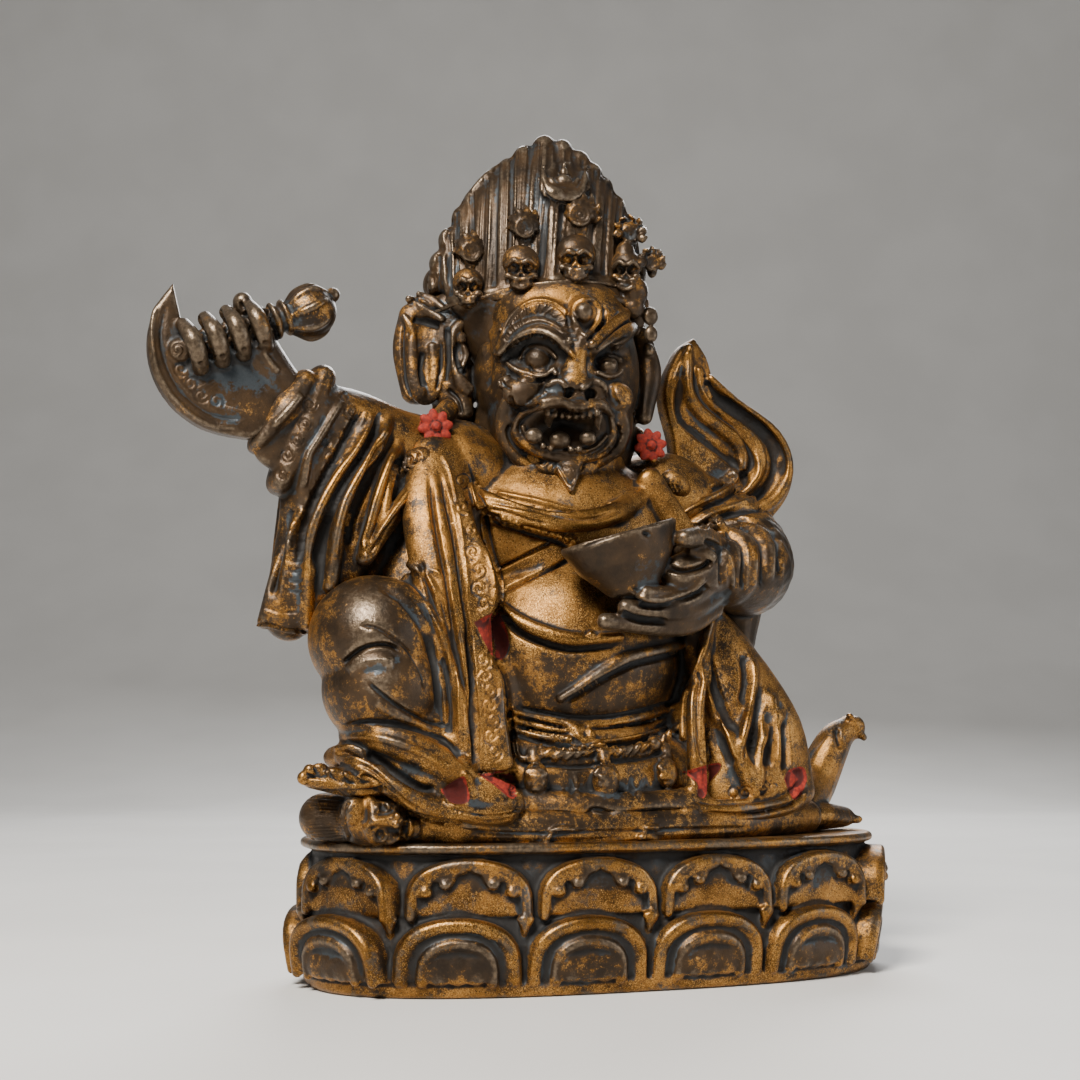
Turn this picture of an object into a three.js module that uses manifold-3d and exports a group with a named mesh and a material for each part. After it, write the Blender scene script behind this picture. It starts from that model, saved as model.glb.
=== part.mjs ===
// A small gilt bronze figure of Mahakala, seated on a fallen body over a double lotus base.
// The figure, all that it holds and the base are one casting, so the model is one solid.
// Millimetres, +Z up. The figure faces -Y and its own left hand is towards +X.
// The origin is the middle of the base's underside.

import * as THREE from "three";
import { SimplifyModifier } from "three/addons/modifiers/SimplifyModifier.js";
import { mergeVertices } from "three/addons/utils/BufferGeometryUtils.js";
import Module from "manifold-3d";

const wasm = await Module();
wasm.setup();

// Driving dimensions of the base
const BASE_WIDTH = 72; // over the foot rim, along X
const BASE_DEPTH = 34; // over the foot rim, along Y
const BASE_SQUARENESS = 2.6; // exponent of the plan: 2 is an oval, more is squarer
const RIM_HEIGHT = 2;
const LOWER_ROW_HEIGHT = 7;
const UPPER_ROW_HEIGHT = 6.3;
const LEDGE_HEIGHT = 1.7;
const PETALS = 12; // in each of the two rows
const PETAL_SWELL = 1.6; // how far a lower petal's shoulder stands out past the rim and its own foot
const UPPER_STAND = 0.3; // how far an upper petal stands out past the rim, without its border
const UPPER_SWELL = 0.3; // how much further out its shoulder stands
const PETAL_RELIEF = 0.8; // how far a petal's border and cushion stand off the petal
const PETAL_ROOT = 4; // how far a petal's plate reaches into the base
const LEDGE_STEP = 0.6; // how far the ledge stands out past the rim
const UPPER_ROW_SHIFT = 1.3; // how far the upper row sits towards +X, as it was cast

// Driving dimensions of the figure, from the top of the base to the tip of the hair
const FIGURE_HEIGHT = 89.4;
const CHOPPER_RADIUS = 10.4; // of the blade's round back
const CHOPPER_THICKNESS = 2.2;
const HANDLE_RADIUS = 1.7;
const CUP_RADIUS = 7.4;
const CUP_DEPTH = 8.2;
const CUP_HOLLOW = 3.2;
const CUP_WALL = 1.5;
const SCARF_THICKNESS = 3;

const MOST_FACETS = 9300; // the joined casting is thinned to this, which keeps its forms
const TOUCH = 1e-3; // skins closer than this touch
const BEAD = 0.2; // metal that runs in where two skins touch

// The sculptor's own unit: the figure is 89.4 of them tall, and its pose is laid out in them.
const FIGURE_UNITS = 89.4;
const UNIT = FIGURE_HEIGHT / FIGURE_UNITS;
const SEAT_HEIGHT = RIM_HEIGHT + LOWER_ROW_HEIGHT + UPPER_ROW_HEIGHT + LEDGE_HEIGHT;
const FRONT = [0, -1, 0];

// Turns a three.js geometry into a closed solid that can be joined and cut
function solidOf(geometry) {
  const bare = geometry.index ? geometry.toNonIndexed() : geometry.clone();
  bare.deleteAttribute("normal");
  bare.deleteAttribute("uv");
  const merged = mergeVertices(bare, 1e-4);
  const solid = new wasm.Manifold(
    new wasm.Mesh({
      numProp: 3,
      vertProperties: merged.attributes.position.array,
      triVerts: new Uint32Array(merged.index.array),
    }),
  );
  return solid;
}

const join = (solids) => solids.reduce((whole, next) => whole.add(next));

// An ellipsoid, turned about its own centre by degrees about X, Y and Z
function ball(centre, radii, { turn = [0, 0, 0], sides = 12, rings = 8 } = {}) {
  const geometry = new THREE.SphereGeometry(1, sides, rings);
  geometry.rotateX(Math.PI / 2);
  geometry.scale(...radii);
  geometry.applyMatrix4(
    new THREE.Matrix4().makeRotationFromEuler(
      new THREE.Euler(...turn.map(THREE.MathUtils.degToRad)),
    ),
  );
  geometry.translate(...centre);
  return solidOf(geometry);
}

// The value of a list, or of a single number, at a share along a spine
function sample(values, share) {
  if (!Array.isArray(values)) return values;
  const reach = share * (values.length - 1);
  const i = Math.min(Math.floor(reach), values.length - 2);
  return THREE.MathUtils.lerp(values[i], values[i + 1], reach - i);
}

// A rounded form bent along a spine: a capsule whose section is wide across the spine
// and deep towards the side that it faces. Widths and depths are halves.
function limb(spine, wide, deep = wide, { face = FRONT, sides = 8, rings = 5, cap = 2 } = {}) {
  const curve = new THREE.CatmullRomCurve3(spine.map((p) => new THREE.Vector3(...p)));
  const geometry = new THREE.CapsuleGeometry(1, 1, cap, sides, rings);
  const facing = new THREE.Vector3(...face).normalize();
  const position = geometry.attributes.position;
  for (let i = 0; i < position.count; i++) {
    const along = THREE.MathUtils.clamp(position.getY(i), -0.5, 0.5);
    const past = position.getY(i) - along;
    const share = 0.5 - along;
    const tangent = curve.getTangent(share);
    const side = new THREE.Vector3().crossVectors(tangent, facing).normalize();
    const outward = new THREE.Vector3().crossVectors(side, tangent);
    const halfWidth = sample(wide, share);
    const halfDepth = sample(deep, share);
    const point = curve
      .getPoint(share)
      .addScaledVector(side, position.getX(i) * halfWidth)
      .addScaledVector(outward, position.getZ(i) * halfDepth)
      .addScaledVector(tangent, -past * Math.min(halfWidth, halfDepth));
    position.setXYZ(i, point.x, point.y, point.z);
  }
  const solid = solidOf(geometry);
  return solid.volume() < 0 ? solidOf(flipped(geometry)) : solid;
}

// The same surface with its faces turned over
function flipped(geometry) {
  const turned = geometry.clone();
  const index = turned.index.array;
  for (let i = 0; i < index.length; i += 3) {
    [index[i + 1], index[i + 2]] = [index[i + 2], index[i + 1]];
  }
  return turned;
}

// A plate cut to an outline of the front view, [x, z] pairs joined by a smooth curve
function plate(outline, middle, thickness, { bevel = 0.5, steps = 3 } = {}) {
  const curve = new THREE.CatmullRomCurve3(
    outline.map(([x, z]) => new THREE.Vector3(x, z, 0)),
    true,
    "centripetal",
  );
  const shape = new THREE.Shape(
    curve.getPoints(outline.length * steps).slice(0, -1).map((p) => new THREE.Vector2(p.x, p.y)),
  );
  const geometry = new THREE.ExtrudeGeometry(shape, {
    depth: thickness - 2 * bevel,
    bevelThickness: bevel,
    bevelSize: bevel,
    bevelOffset: -bevel,
    bevelSegments: 1,
  });
  geometry.rotateX(Math.PI / 2);
  geometry.translate(0, middle + thickness / 2 - bevel, 0);
  return solidOf(geometry);
}

const mirrored = ([x, y, z]) => [-x, y, z];

// A point of the base's plan at an angle, grown outwards by an amount
function planPoint(angle, grow = 0) {
  const power = 2 / BASE_SQUARENESS;
  const reach = (cosine) => Math.sign(cosine) * Math.abs(cosine) ** power;
  return new THREE.Vector2(
    (BASE_WIDTH / 2 + grow) * reach(Math.cos(angle)),
    (BASE_DEPTH / 2 + grow) * reach(Math.sin(angle)),
  );
}

// Places spaced evenly round the base's plan, with a joint between two of them at the front
function placesRoundBase(count) {
  const FINE = 720;
  const ring = Array.from({ length: FINE + 1 }, (_, i) =>
    planPoint(-Math.PI / 2 + (2 * Math.PI * i) / FINE),
  );
  const lengths = [0];
  for (let i = 1; i <= FINE; i++) lengths.push(lengths[i - 1] + ring[i].distanceTo(ring[i - 1]));
  const pitch = lengths[FINE] / count;
  return Array.from({ length: count }, (_, k) => {
    const i = lengths.findIndex((length) => length >= (k + 0.5) * pitch);
    const before = ring[(i + FINE - 12) % FINE];
    const after = ring[(i + 12) % FINE];
    const run = after.clone().sub(before).normalize();
    return { point: ring[i], outward: new THREE.Vector2(run.y, -run.x), pitch };
  });
}

// The plain body of the base: tiers that follow the plan, each a height and a growth past the rim
function baseCore() {
  const lowerTop = RIM_HEIGHT + LOWER_ROW_HEIGHT;
  const upperTop = lowerTop + UPPER_ROW_HEIGHT;
  const tiers = [
    [0, -0.4],
    [0.5, 0],
    [RIM_HEIGHT - 0.5, 0],
    [RIM_HEIGHT, -0.9],
    [RIM_HEIGHT + LOWER_ROW_HEIGHT * 0.55, 0.3],
    [lowerTop, -0.4],
    [lowerTop + UPPER_ROW_HEIGHT * 0.5, -0.4],
    [upperTop, -0.9],
    [upperTop + LEDGE_HEIGHT * 0.25, -1.2],
    [upperTop + LEDGE_HEIGHT * 0.4, LEDGE_STEP],
    [SEAT_HEIGHT - 0.3, LEDGE_STEP],
    [SEAT_HEIGHT, 0],
  ];
  const ROUND = 10; // the tiers are turned at this radius, then moved out to the plan
  const profile = [
    new THREE.Vector2(0, 0),
    ...tiers.map(([height, grow]) => new THREE.Vector2(ROUND + grow, height)),
    new THREE.Vector2(0, SEAT_HEIGHT),
  ];
  const PLAN_SIDES = 32;
  const geometry = new THREE.LatheGeometry(profile, PLAN_SIDES);
  const position = geometry.attributes.position;
  for (let i = 0; i < position.count; i++) {
    const radius = Math.hypot(position.getX(i), position.getZ(i));
    const plan = planPoint(Math.atan2(position.getZ(i), position.getX(i)), radius - ROUND);
    if (radius < TOUCH) plan.set(0, 0);
    position.setXYZ(i, plan.x, -plan.y, position.getY(i));
  }
  return solidOf(geometry);
}

// A round-topped plate standing on the base's side: its front stands out by a given amount, and
// its top leans in or out by the lean
function archPlate({ point, outward }, width, low, height, out, lean = 0) {
  const SPRING = 0.22; // the share of the height at which the curve begins
  const shape = new THREE.Shape();
  shape.moveTo(-width / 2, 0);
  shape.lineTo(width / 2, 0);
  shape.lineTo(width / 2, height * SPRING);
  shape.bezierCurveTo(width / 2, height * 0.78, width * 0.3, height, 0, height);
  shape.bezierCurveTo(-width * 0.3, height, -width / 2, height * 0.78, -width / 2, height * SPRING);
  const EDGE = 0.4;
  const geometry = new THREE.ExtrudeGeometry(shape, {
    depth: PETAL_ROOT + out - EDGE,
    bevelThickness: EDGE,
    bevelSize: EDGE,
    bevelOffset: -EDGE,
    bevelSegments: 1,
    curveSegments: 3,
  });
  geometry.translate(0, 0, -PETAL_ROOT);
  geometry.applyMatrix4(new THREE.Matrix4().makeShear(0, 0, 0, lean, 0, 0));
  geometry.rotateX(Math.PI / 2);
  geometry.rotateZ(Math.atan2(outward.x, -outward.y));
  geometry.translate(point.x, point.y, low);
  return solidOf(geometry);
}

// Both rows of petals: each petal has a border, and the lower ones a full cushion inside it
function lotusBase() {
  const lowerTop = RIM_HEIGHT + LOWER_ROW_HEIGHT;
  const low = RIM_HEIGHT * 0.85;
  const lowerLean = PETAL_SWELL / LOWER_ROW_HEIGHT;
  const petals = placesRoundBase(PETALS).flatMap((place) => {
    const { pitch, outward } = place;
    const inset = 2 * PETAL_RELIEF;
    const above = place.point.clone().add(new THREE.Vector2(UPPER_ROW_SHIFT, 0));
    const cutFrom = above.clone().addScaledVector(outward, PETAL_ROOT + 0.1);
    return [
      archPlate(place, pitch * 0.97, low, LOWER_ROW_HEIGHT * 1.04, 0, lowerLean),
      archPlate(place, pitch * 0.97 - 2 * inset, low, LOWER_ROW_HEIGHT - inset,
        PETAL_RELIEF * 0.7, lowerLean),
      archPlate({ point: above, outward }, pitch * 0.95, lowerTop, UPPER_ROW_HEIGHT,
        UPPER_STAND + PETAL_RELIEF, UPPER_SWELL / UPPER_ROW_HEIGHT).subtract(
        archPlate({ point: cutFrom, outward }, pitch * 0.95 - 2 * inset, lowerTop,
          UPPER_ROW_HEIGHT - inset, 2),
      ),
    ];
  });
  return join([baseCore(), ...petals]);
}

// The trunk in its robe: belly, chest and shoulders, and the robe's back with its plain folds
function trunk() {
  const backFolds = [-3, -2, -1, 0, 1, 2, 3].map((i) =>
    limb(
      [[-5 + i * 3, 9, 42 - Math.abs(i)], [-4.5 + i * 4.4, 12.2 - Math.abs(i) * 0.9, 26],
        [-4.5 + i * 6.2, 14 - i * i * 0.55, 2]],
      [0.9, 1.3, 1.8],
      [1, 1.3, 1.6],
      { sides: 6, rings: 3, cap: 1 },
    ),
  );
  return [
    limb([[-4.5, 2.5, 44], [-4.5, 3, 32], [-4.5, 2.5, 17], [-4.5, 2, 4]], [12, 16.5, 19, 21.5],
      [6.6, 9, 10.4, 11.6], {
      sides: 14,
      rings: 6,
    }),
    ...backFolds,
    ball([-4.5, -2, 22], [14.5, 12.3, 13.5], { sides: 14 }),
    ball([-4.5, 0, 37], [15.5, 10.5, 11]),
    ball([-5, 0, 46], [9, 8, 6], { sides: 8, rings: 6 }),
    ball([-18.5, 1, 44.5], [7.5, 7.5, 6.5], { sides: 10, rings: 6 }),
    ball([9.5, 1.5, 42.5], [8, 7.5, 6.5], { sides: 10, rings: 6 }),
  ];
}

// The raised right leg: a full knee, two creases under it, and the hem that breaks over the foot
function rightLeg() {
  const hem = [
    { spine: [[-32.8, -8, 12.2], [-31.4, -13.4, 12.2], [-28.2, -15.4, 10.9], [-21.8, -16, 7.6]], wide: 2 },
    { spine: [[-34.4, -7, 9.6], [-33.6, -11.8, 9.7], [-30.6, -14.6, 7.8], [-26, -16, 5.6],
      [-21, -16, 5.2]], wide: 1.5 },
    { spine: [[-30.6, -13.4, 5.2], [-27.2, -15.4, 3.5], [-22, -16.2, 2.7], [-17, -16, 3]], wide: 1.4 },
  ];
  const toes = [0, 1, 2, 3].map((i) =>
    ball([-38.2 + i * 1.1, -11.9 - i * 0.5, 8 - i * 0.5], [1.1, 1.2, 0.9], { sides: 6, rings: 4 }),
  );
  return [
    limb([[-12, 1, 14], [-22, -4, 20], [-29.5, -7, 23]], [10, 9, 7.4]),
    ball([-30.6, -8.4, 23.2], [7.5, 8, 7.3], { sides: 12, rings: 8 }),
    ball([-29.6, -9.4, 17.4], [7, 7.4, 6.8], { sides: 12, rings: 8 }),
    limb([[-28.4, -8.4, 16], [-26.6, -9.6, 8], [-24, -10, 3]], [5.6, 6.2, 7.4], [6, 6, 6],
      { sides: 10, rings: 3 }),
    limb([[-27, -9.5, 6.8], [-33, -12, 6.8], [-38, -11.4, 7.4]], [2.4, 2.6, 2], [2, 1.8, 1.3], {
      sides: 6,
      face: [0, 0, 1],
    }),
    ball([-19.4, -16.2, 5.4], [3.4, 1.2, 2.1], { sides: 8, rings: 4 }),
    ...hem.map(({ spine, wide }) => limb(spine, wide, 1.7, { sides: 6, rings: 6 })),
    ...toes,
  ];
}

// The lowered left leg under the spreading robe: long creased folds down to a rolled hem
function leftLeg() {
  const folds = [
    [[10.8, -10.4, 17.5], [12, -12.4, 12.9], [13.4, -13.6, 9.5], [15, -14, 5.6]],
    [[17.4, -8.6, 20.4], [15.8, -12, 15.1], [14.4, -13.2, 12.4], [13.8, -13.8, 8.4]],
    [[17, -9.8, 17.6], [16.6, -12.4, 13.6], [16.2, -13.4, 10.4], [15.6, -14, 6.6]],
    [[19.6, -7.8, 18.6], [20, -10.6, 13], [20.4, -12.2, 9], [21, -12.6, 4.6]],
    [[21.2, -4.6, 21], [22.8, -7.4, 15], [23.8, -9, 9.6], [24.2, -9.2, 5.4]],
  ];
  return [
    limb([[12, -2, 27], [14.5, -4, 19], [15.5, -5, 10], [15.5, -5, 4]], [4.6, 7.2, 9, 9.6],
      [4, 6.6, 8, 8.4], {
      sides: 12,
    }),
    limb([[6, -14.6, 3.2], [12.7, -14.8, 3.2], [17.6, -13.8, 3.4], [22, -11.4, 4.2], [24.8, -7, 5.4]],
      1.5, 1.2, {
      sides: 6,
      rings: 6,
    }),
    ...folds.map((spine) => limb(spine, [0.7, 1, 1.2], [0.9, 1.2, 1.3], { sides: 6, rings: 4, cap: 1 })),
  ];
}

// The cloth across the lap, its hem and the belt, cord and three hanging heads in front of it
function lap() {
  const belt = [[-16, -10.5, 14.6], [-9, -13.6, 12.6], [-3, -14.4, 12], [3, -13.2, 13], [9, -9.5, 15]];
  const rope = [[-13, -12, 10.6], [-7, -14.4, 10.2], [-1, -14.8, 10.6], [4.5, -13, 11.8]];
  const heads = [[-12.3, -14, 7.4], [-4.2, -15, 7], [3.9, -13.6, 7.8]];
  return [
    ball([-4.5, -5.5, 7], [17, 8.8, 7.6]),
    limb([[-17, -12.5, 4.2], [-8, -14.6, 3.6], [0, -14.8, 3.6], [8, -13.6, 4]], 2, 1.6, { sides: 6 }),
    limb(belt, 1.3, 1.4, { sides: 6, rings: 8 }),
    limb(rope, 0.9, 1.1, { sides: 6, rings: 6 }),
    ...heads.map((place) => ball(place, [1.5, 1.5, 2.3], { sides: 6, rings: 5 })),
  ];
}

// The robe's long borders on each side of the belly, the collar, and what crosses the chest
function borders() {
  const flat = { sides: 6, rings: 6 };
  return [
    limb([[-21, -2, 47.5], [-22, -7.5, 42], [-20.4, -11.6, 34], [-18.4, -13.6, 28.6],
      [-18.9, -13.8, 25.6]], [1.4, 2, 2.1, 1.7, 0.8], 1.2, {
      ...flat,
      face: [-0.3, -1, 0],
    }),
    limb([[-20.4, -12.6, 26.6], [-18.8, -14.6, 19], [-18.2, -15.2, 13], [-17.9, -15.6, 8.6]],
      [0.7, 1.6, 1.9, 2.2], 1.1, flat),
    limb([[-25, -3, 44], [-24.4, -10, 34], [-22.2, -13, 26], [-21.2, -14.4, 17], [-20.8, -15, 8.4]],
      [0.9, 1.2, 1], 1.3, flat),
    limb([[-26.6, -8.8, 30], [-24, -12.4, 24.6], [-22.8, -13.4, 18], [-22.2, -14.4, 9]], [0.8, 1.1, 1],
      1.3, flat),
    limb([[4.5, -7.5, 44], [10, -8.6, 35], [12.2, -9.4, 28]], 1.7, 1.2, flat),
    limb([[11.8, -9.2, 27.8], [11, -10, 24.6], [9.4, -11.8, 19.4], [8, -13.2, 15], [7.6, -14.2, 6]],
      [0.9, 1, 1.5], 1.2, flat),
    ball([12, -9.8, 28], [1.6, 1.6, 1.9], { sides: 6, rings: 4 }),
    limb([[-20, -5, 42], [-15.4, -10.4, 38.8], [-9, -12.2, 37.2], [-2.5, -11.6, 38.2], [4, -7, 42]],
      1.3, 1.1, flat),
    limb([[-19, -9, 38.6], [-16.4, -11.6, 36.8], [-13.2, -12.6, 35.5], [-8, -13, 34]],
      0.7, 0.8, { sides: 6, rings: 4 }),
    limb([[-17.4, -11.4, 30.2], [-12.6, -13, 32.4], [-8, -13.2, 34.2]], 1.2, 0.8, { sides: 6, rings: 3 }),
    limb([[-16.8, -12.4, 25.6], [-13.4, -13.8, 24], [-9, -14.6, 22.8], [-3, -14.8, 22]],
      0.9, 0.9, { sides: 6, rings: 5 }),
    limb([[-8.8, -14.4, 17], [-5.4, -14.6, 19.2], [-1, -14.2, 20], [3.4, -13.2, 20.9], [8, -10.6, 22]],
      0.9, 0.9, {
      sides: 6,
      rings: 5,
    }),
  ];
}

// The raised right arm in its wide sleeve: a turned-back cuff, hanging cloth and long folds
function rightSleeve() {
  const folds = [
    [[-34.4, -4.6, 52.6], [-36.3, -6.8, 48.2], [-38.4, -7.4, 44.2], [-38.8, -7, 40.4]],
    [[-31, -4, 51], [-31.6, -6.6, 47], [-34.6, -7.9, 41.8], [-37.4, -8, 36], [-38.2, -7.4, 30],
      [-38, -6.4, 25]],
    [[-28.6, -4, 50.6], [-29.8, -6.8, 46.4], [-33, -8, 41], [-34.8, -8.4, 35.6], [-35.6, -8, 29.2]],
    [[-27, -5, 47], [-28.8, -7.4, 42.6], [-30.4, -8.4, 36.6], [-31.8, -8.6, 32.4]],
    [[-24.8, -6, 42.4], [-27.4, -7.8, 38.8], [-29.8, -8.5, 35.4], [-31.6, -8.8, 32.4]],
    [[-40.2, -4.4, 40.6], [-40.4, -5.6, 34], [-41.8, -5.4, 28], [-42.6, -5, 25]],
  ];
  return [
    limb([[-18, 1, 44.5], [-26, 0, 46], [-33, -2.5, 48.5], [-39, -4.5, 49.5]], [7, 6, 5.2, 4.2],
      [6.5, 5.5, 4.6, 4.2]),
    limb([[-38.8, -5, 53.2], [-41.2, -5.8, 49.4], [-44, -6, 45.6]], [1.6, 2.4, 1.2], [3.4, 4, 2.8],
      { sides: 8 }),
    limb([[-36.4, -4, 54], [-38.8, -5, 47.4], [-41.2, -5.2, 41.4]], [1.8, 2.6, 1.6], [3.4, 4.2, 3.2],
      { sides: 8 }),
    limb([[-25, 0, 46], [-29, -2, 40], [-34.5, -3.6, 31.5], [-40, -4.4, 25.4]], [6, 8, 6, 2.8],
      [4.4, 4, 3.4, 2.4], {
      sides: 10,
    }),
    limb([[-37, -4, 46], [-39.4, -4.6, 36], [-41.2, -4.8, 25.8]], [3.4, 1.8, 1.6], [3.4, 2.8, 2.2]),
    limb([[-20, -1, 38], [-24, -3, 30], [-27, -3.5, 22]], [7, 6, 5], [6, 6, 5]),
    ...folds.map((spine) => limb(spine, [0.9, 1.1, 1], [1.1, 1.4, 1.2], { sides: 6, rings: 5, cap: 1 })),
  ];
}

// The right hand closed round the handle of the flaying knife
function rightHand() {
  const GRIP_START = [-53, -8, 55.6];
  const GRIP_END = [-38, -8, 61.8];
  const run = new THREE.Vector3(...GRIP_END).sub(new THREE.Vector3(...GRIP_START));
  const grip = (share, back = 0, up = 0) => {
    const p = new THREE.Vector3(...GRIP_START).addScaledVector(run, share);
    return [p.x - run.z * up, p.y + back, p.z + run.x * up];
  };
  const across = [-run.z, 0, run.x].map((v) => v / run.length());
  const handle = HANDLE_RADIUS / UNIT;
  const fingers = [0.1, 0.27, 0.44, 0.61].map((share) => {
    const [x, y, z] = grip(share);
    const reach = (down, back) => [x + across[0] * down, y + back, z + across[2] * down];
    return limb([reach(-2.4, -1.2), reach(0, -2.6), reach(2.2, -0.6)], 1.15, 1, {
      sides: 6,
      rings: 3,
      cap: 1,
    });
  });
  return [
    limb([[-39.4, -5, 49], [-42.6, -5.8, 53.4], [-44.6, -6.4, 56.4]], [3.6, 3.2, 3], 3.2),
    ball([-46.3, -6.2, 56.6], [4.6, 2.8, 3.6], { turn: [0, -23, 0], sides: 8, rings: 6 }),
    limb([grip(-0.02), grip(0.5), grip(1)], handle, handle, { sides: 8, rings: 2 }),
    limb([[-44.2, -6.4, 58.4], [-46, -7.4, 60.6], [-46.4, -8, 61.8]], [1.6, 1.3, 1.2],
      1.3, { sides: 6, rings: 3 }),
    ball(grip(0.8), [1.1, 2.4, 2.6], { turn: [0, -23, 0], sides: 8, rings: 4 }),
    ball([-38.5, -8, 61.2], [3.3, 2.9, 3.1], { turn: [0, -23, 0], sides: 8, rings: 6 }),
    ball([-36.3, -8, 63.1], [1.2, 1, 1.1], { sides: 6, rings: 4 }),
    ...fingers,
  ];
}

// The flaying knife's blade: a crescent whose round back is an arc of its own radius
function chopperBlade() {
  const CENTRE = [-46.6, 56.4];
  const radius = CHOPPER_RADIUS / UNIT;
  const backAngles = [138, 158, 180, 202, 224, 246, 268, 284];
  const back = backAngles.map((degrees) => {
    const angle = THREE.MathUtils.degToRad(degrees);
    return [CENTRE[0] + radius * Math.cos(angle), CENTRE[1] + radius * Math.sin(angle)];
  });
  const inner = [[-42, 50], [-43, 55], [-48, 55.4], [-52, 54.8], [-53, 58]];
  return plate([...back, ...inner], -7.4, CHOPPER_THICKNESS / UNIT, { bevel: 0.6, steps: 2 });
}

// The left arm in its sleeve, brought forward to hold the skull cup
function leftArm() {
  const cuffFolds = [0, 1, 2].map((i) =>
    limb(
      [[12 + i * 3.4, -11.5 + i * 2.4, 38 - i * 0.4], [15.6 + i * 3.6, -9.6 + i * 3, 34.4],
        [13.5 + i * 3.6, -9.4 + i * 3, 28.8 - i * 0.3]],
      0.9,
      1,
      { sides: 6, rings: 3, cap: 1, face: [0.5, -1, 0] },
    ),
  );
  const fingers = [0, 1, 2].map((i) =>
    limb(
      [[12 - i * 0.4, -12.5 + i * 0.6, 31.8 - i * 2], [5.5, -16 + i * 0.8, 28.6 - i * 1.7],
        [-0.6 - i * 2.2, -18.6 + i, 28.4 - i * 1.6]],
      [1.7, 1.6, 1.2],
      1.4,
      { sides: 6, rings: 4 },
    ),
  );
  return [
    limb([[9, 2, 42], [18.2, 0, 37.4], [18.6, -5.5, 33.4], [13.5, -10.4, 32.6]], [7, 7, 6.4, 4.8],
      [6.8, 7, 6.4, 4.6]),
    limb([[19, 0, 31], [18.6, -1, 24]], [5, 3], [5, 4], { rings: 2 }),
    limb([[13, -11.5, 32.6], [8.5, -15, 32], [4.5, -16.4, 31]], [3.2, 3, 2.4], [2.8, 2.6, 2.2]),
    limb([[11.5, -13, 34.6], [7.6, -17, 35.4], [4, -19, 35]], [1.5, 1.6, 1.3], 1.4, { sides: 6, rings: 3 }),
    ...cuffFolds,
    ...fingers,
  ];
}

// The skull cup: a turned bowl with a shallow hollow, pressed oval and tipped to one side
function skullCup() {
  const radius = CUP_RADIUS / UNIT;
  const depth = CUP_DEPTH / UNIT;
  const wall = CUP_WALL / UNIT;
  const hollow = CUP_HOLLOW / UNIT;
  const profile = [
    [0, -depth],
    [radius * 0.42, -depth * 0.86],
    [radius * 0.82, -depth * 0.42],
    [radius, 0],
    [radius - wall, 0],
    [(radius - wall) * 0.7, -hollow * 0.8],
    [0, -hollow],
  ].map(([r, z]) => new THREE.Vector2(r, z));
  const geometry = new THREE.LatheGeometry(profile, 12);
  geometry.rotateX(Math.PI / 2);
  geometry.scale(1, 0.66, 1);
  geometry.rotateY(THREE.MathUtils.degToRad(-17));
  geometry.translate(-3.3, -16.6, 35.6);
  return solidOf(geometry);
}

// The scarf that sweeps out from the left shoulder and curls up to a tip, with rolled folds
function scarf() {
  const outline = [
    [15.2, 65], [17, 62.4], [18, 59.6], [20.7, 57.6], [24.1, 55.7], [27.6, 53.3], [29.6, 49.7], [29.2, 45.2],
    [26.6, 41.4], [22, 38], [14, 39], [12.4, 46], [11.8, 51], [10.6, 55.6], [10.8, 58.6], [12, 61.6],
      [13.4, 63.8],
  ];
  const folds = [
    [[14, 63.4], [13.4, 58.6], [14.6, 55.4], [17.4, 53.2], [20.4, 51.2], [21.6, 48.6], [20, 46],
      [16.6, 43.8], [13, 41.2]],
    [[15.4, 60.4], [16.8, 56.4], [20.6, 53.6], [23.8, 50.8], [24, 47.2], [20.6, 44], [14, 41]],
    [[17, 59.4], [21, 56.2], [26, 53], [28.2, 49.4], [27.8, 45.6], [24.6, 42.4], [17, 40]],
  ];
  return [
    plate(outline, 2.6, SCARF_THICKNESS / UNIT, { bevel: 0.7, steps: 2 }),
    ...folds.map((route) =>
      limb(route.map(([x, z]) => [x, 1.1, z]), [0.7, 1, 1, 1.1], 1.2, { sides: 6, rings: 8, cap: 1 }),
    ),
  ];
}

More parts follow.
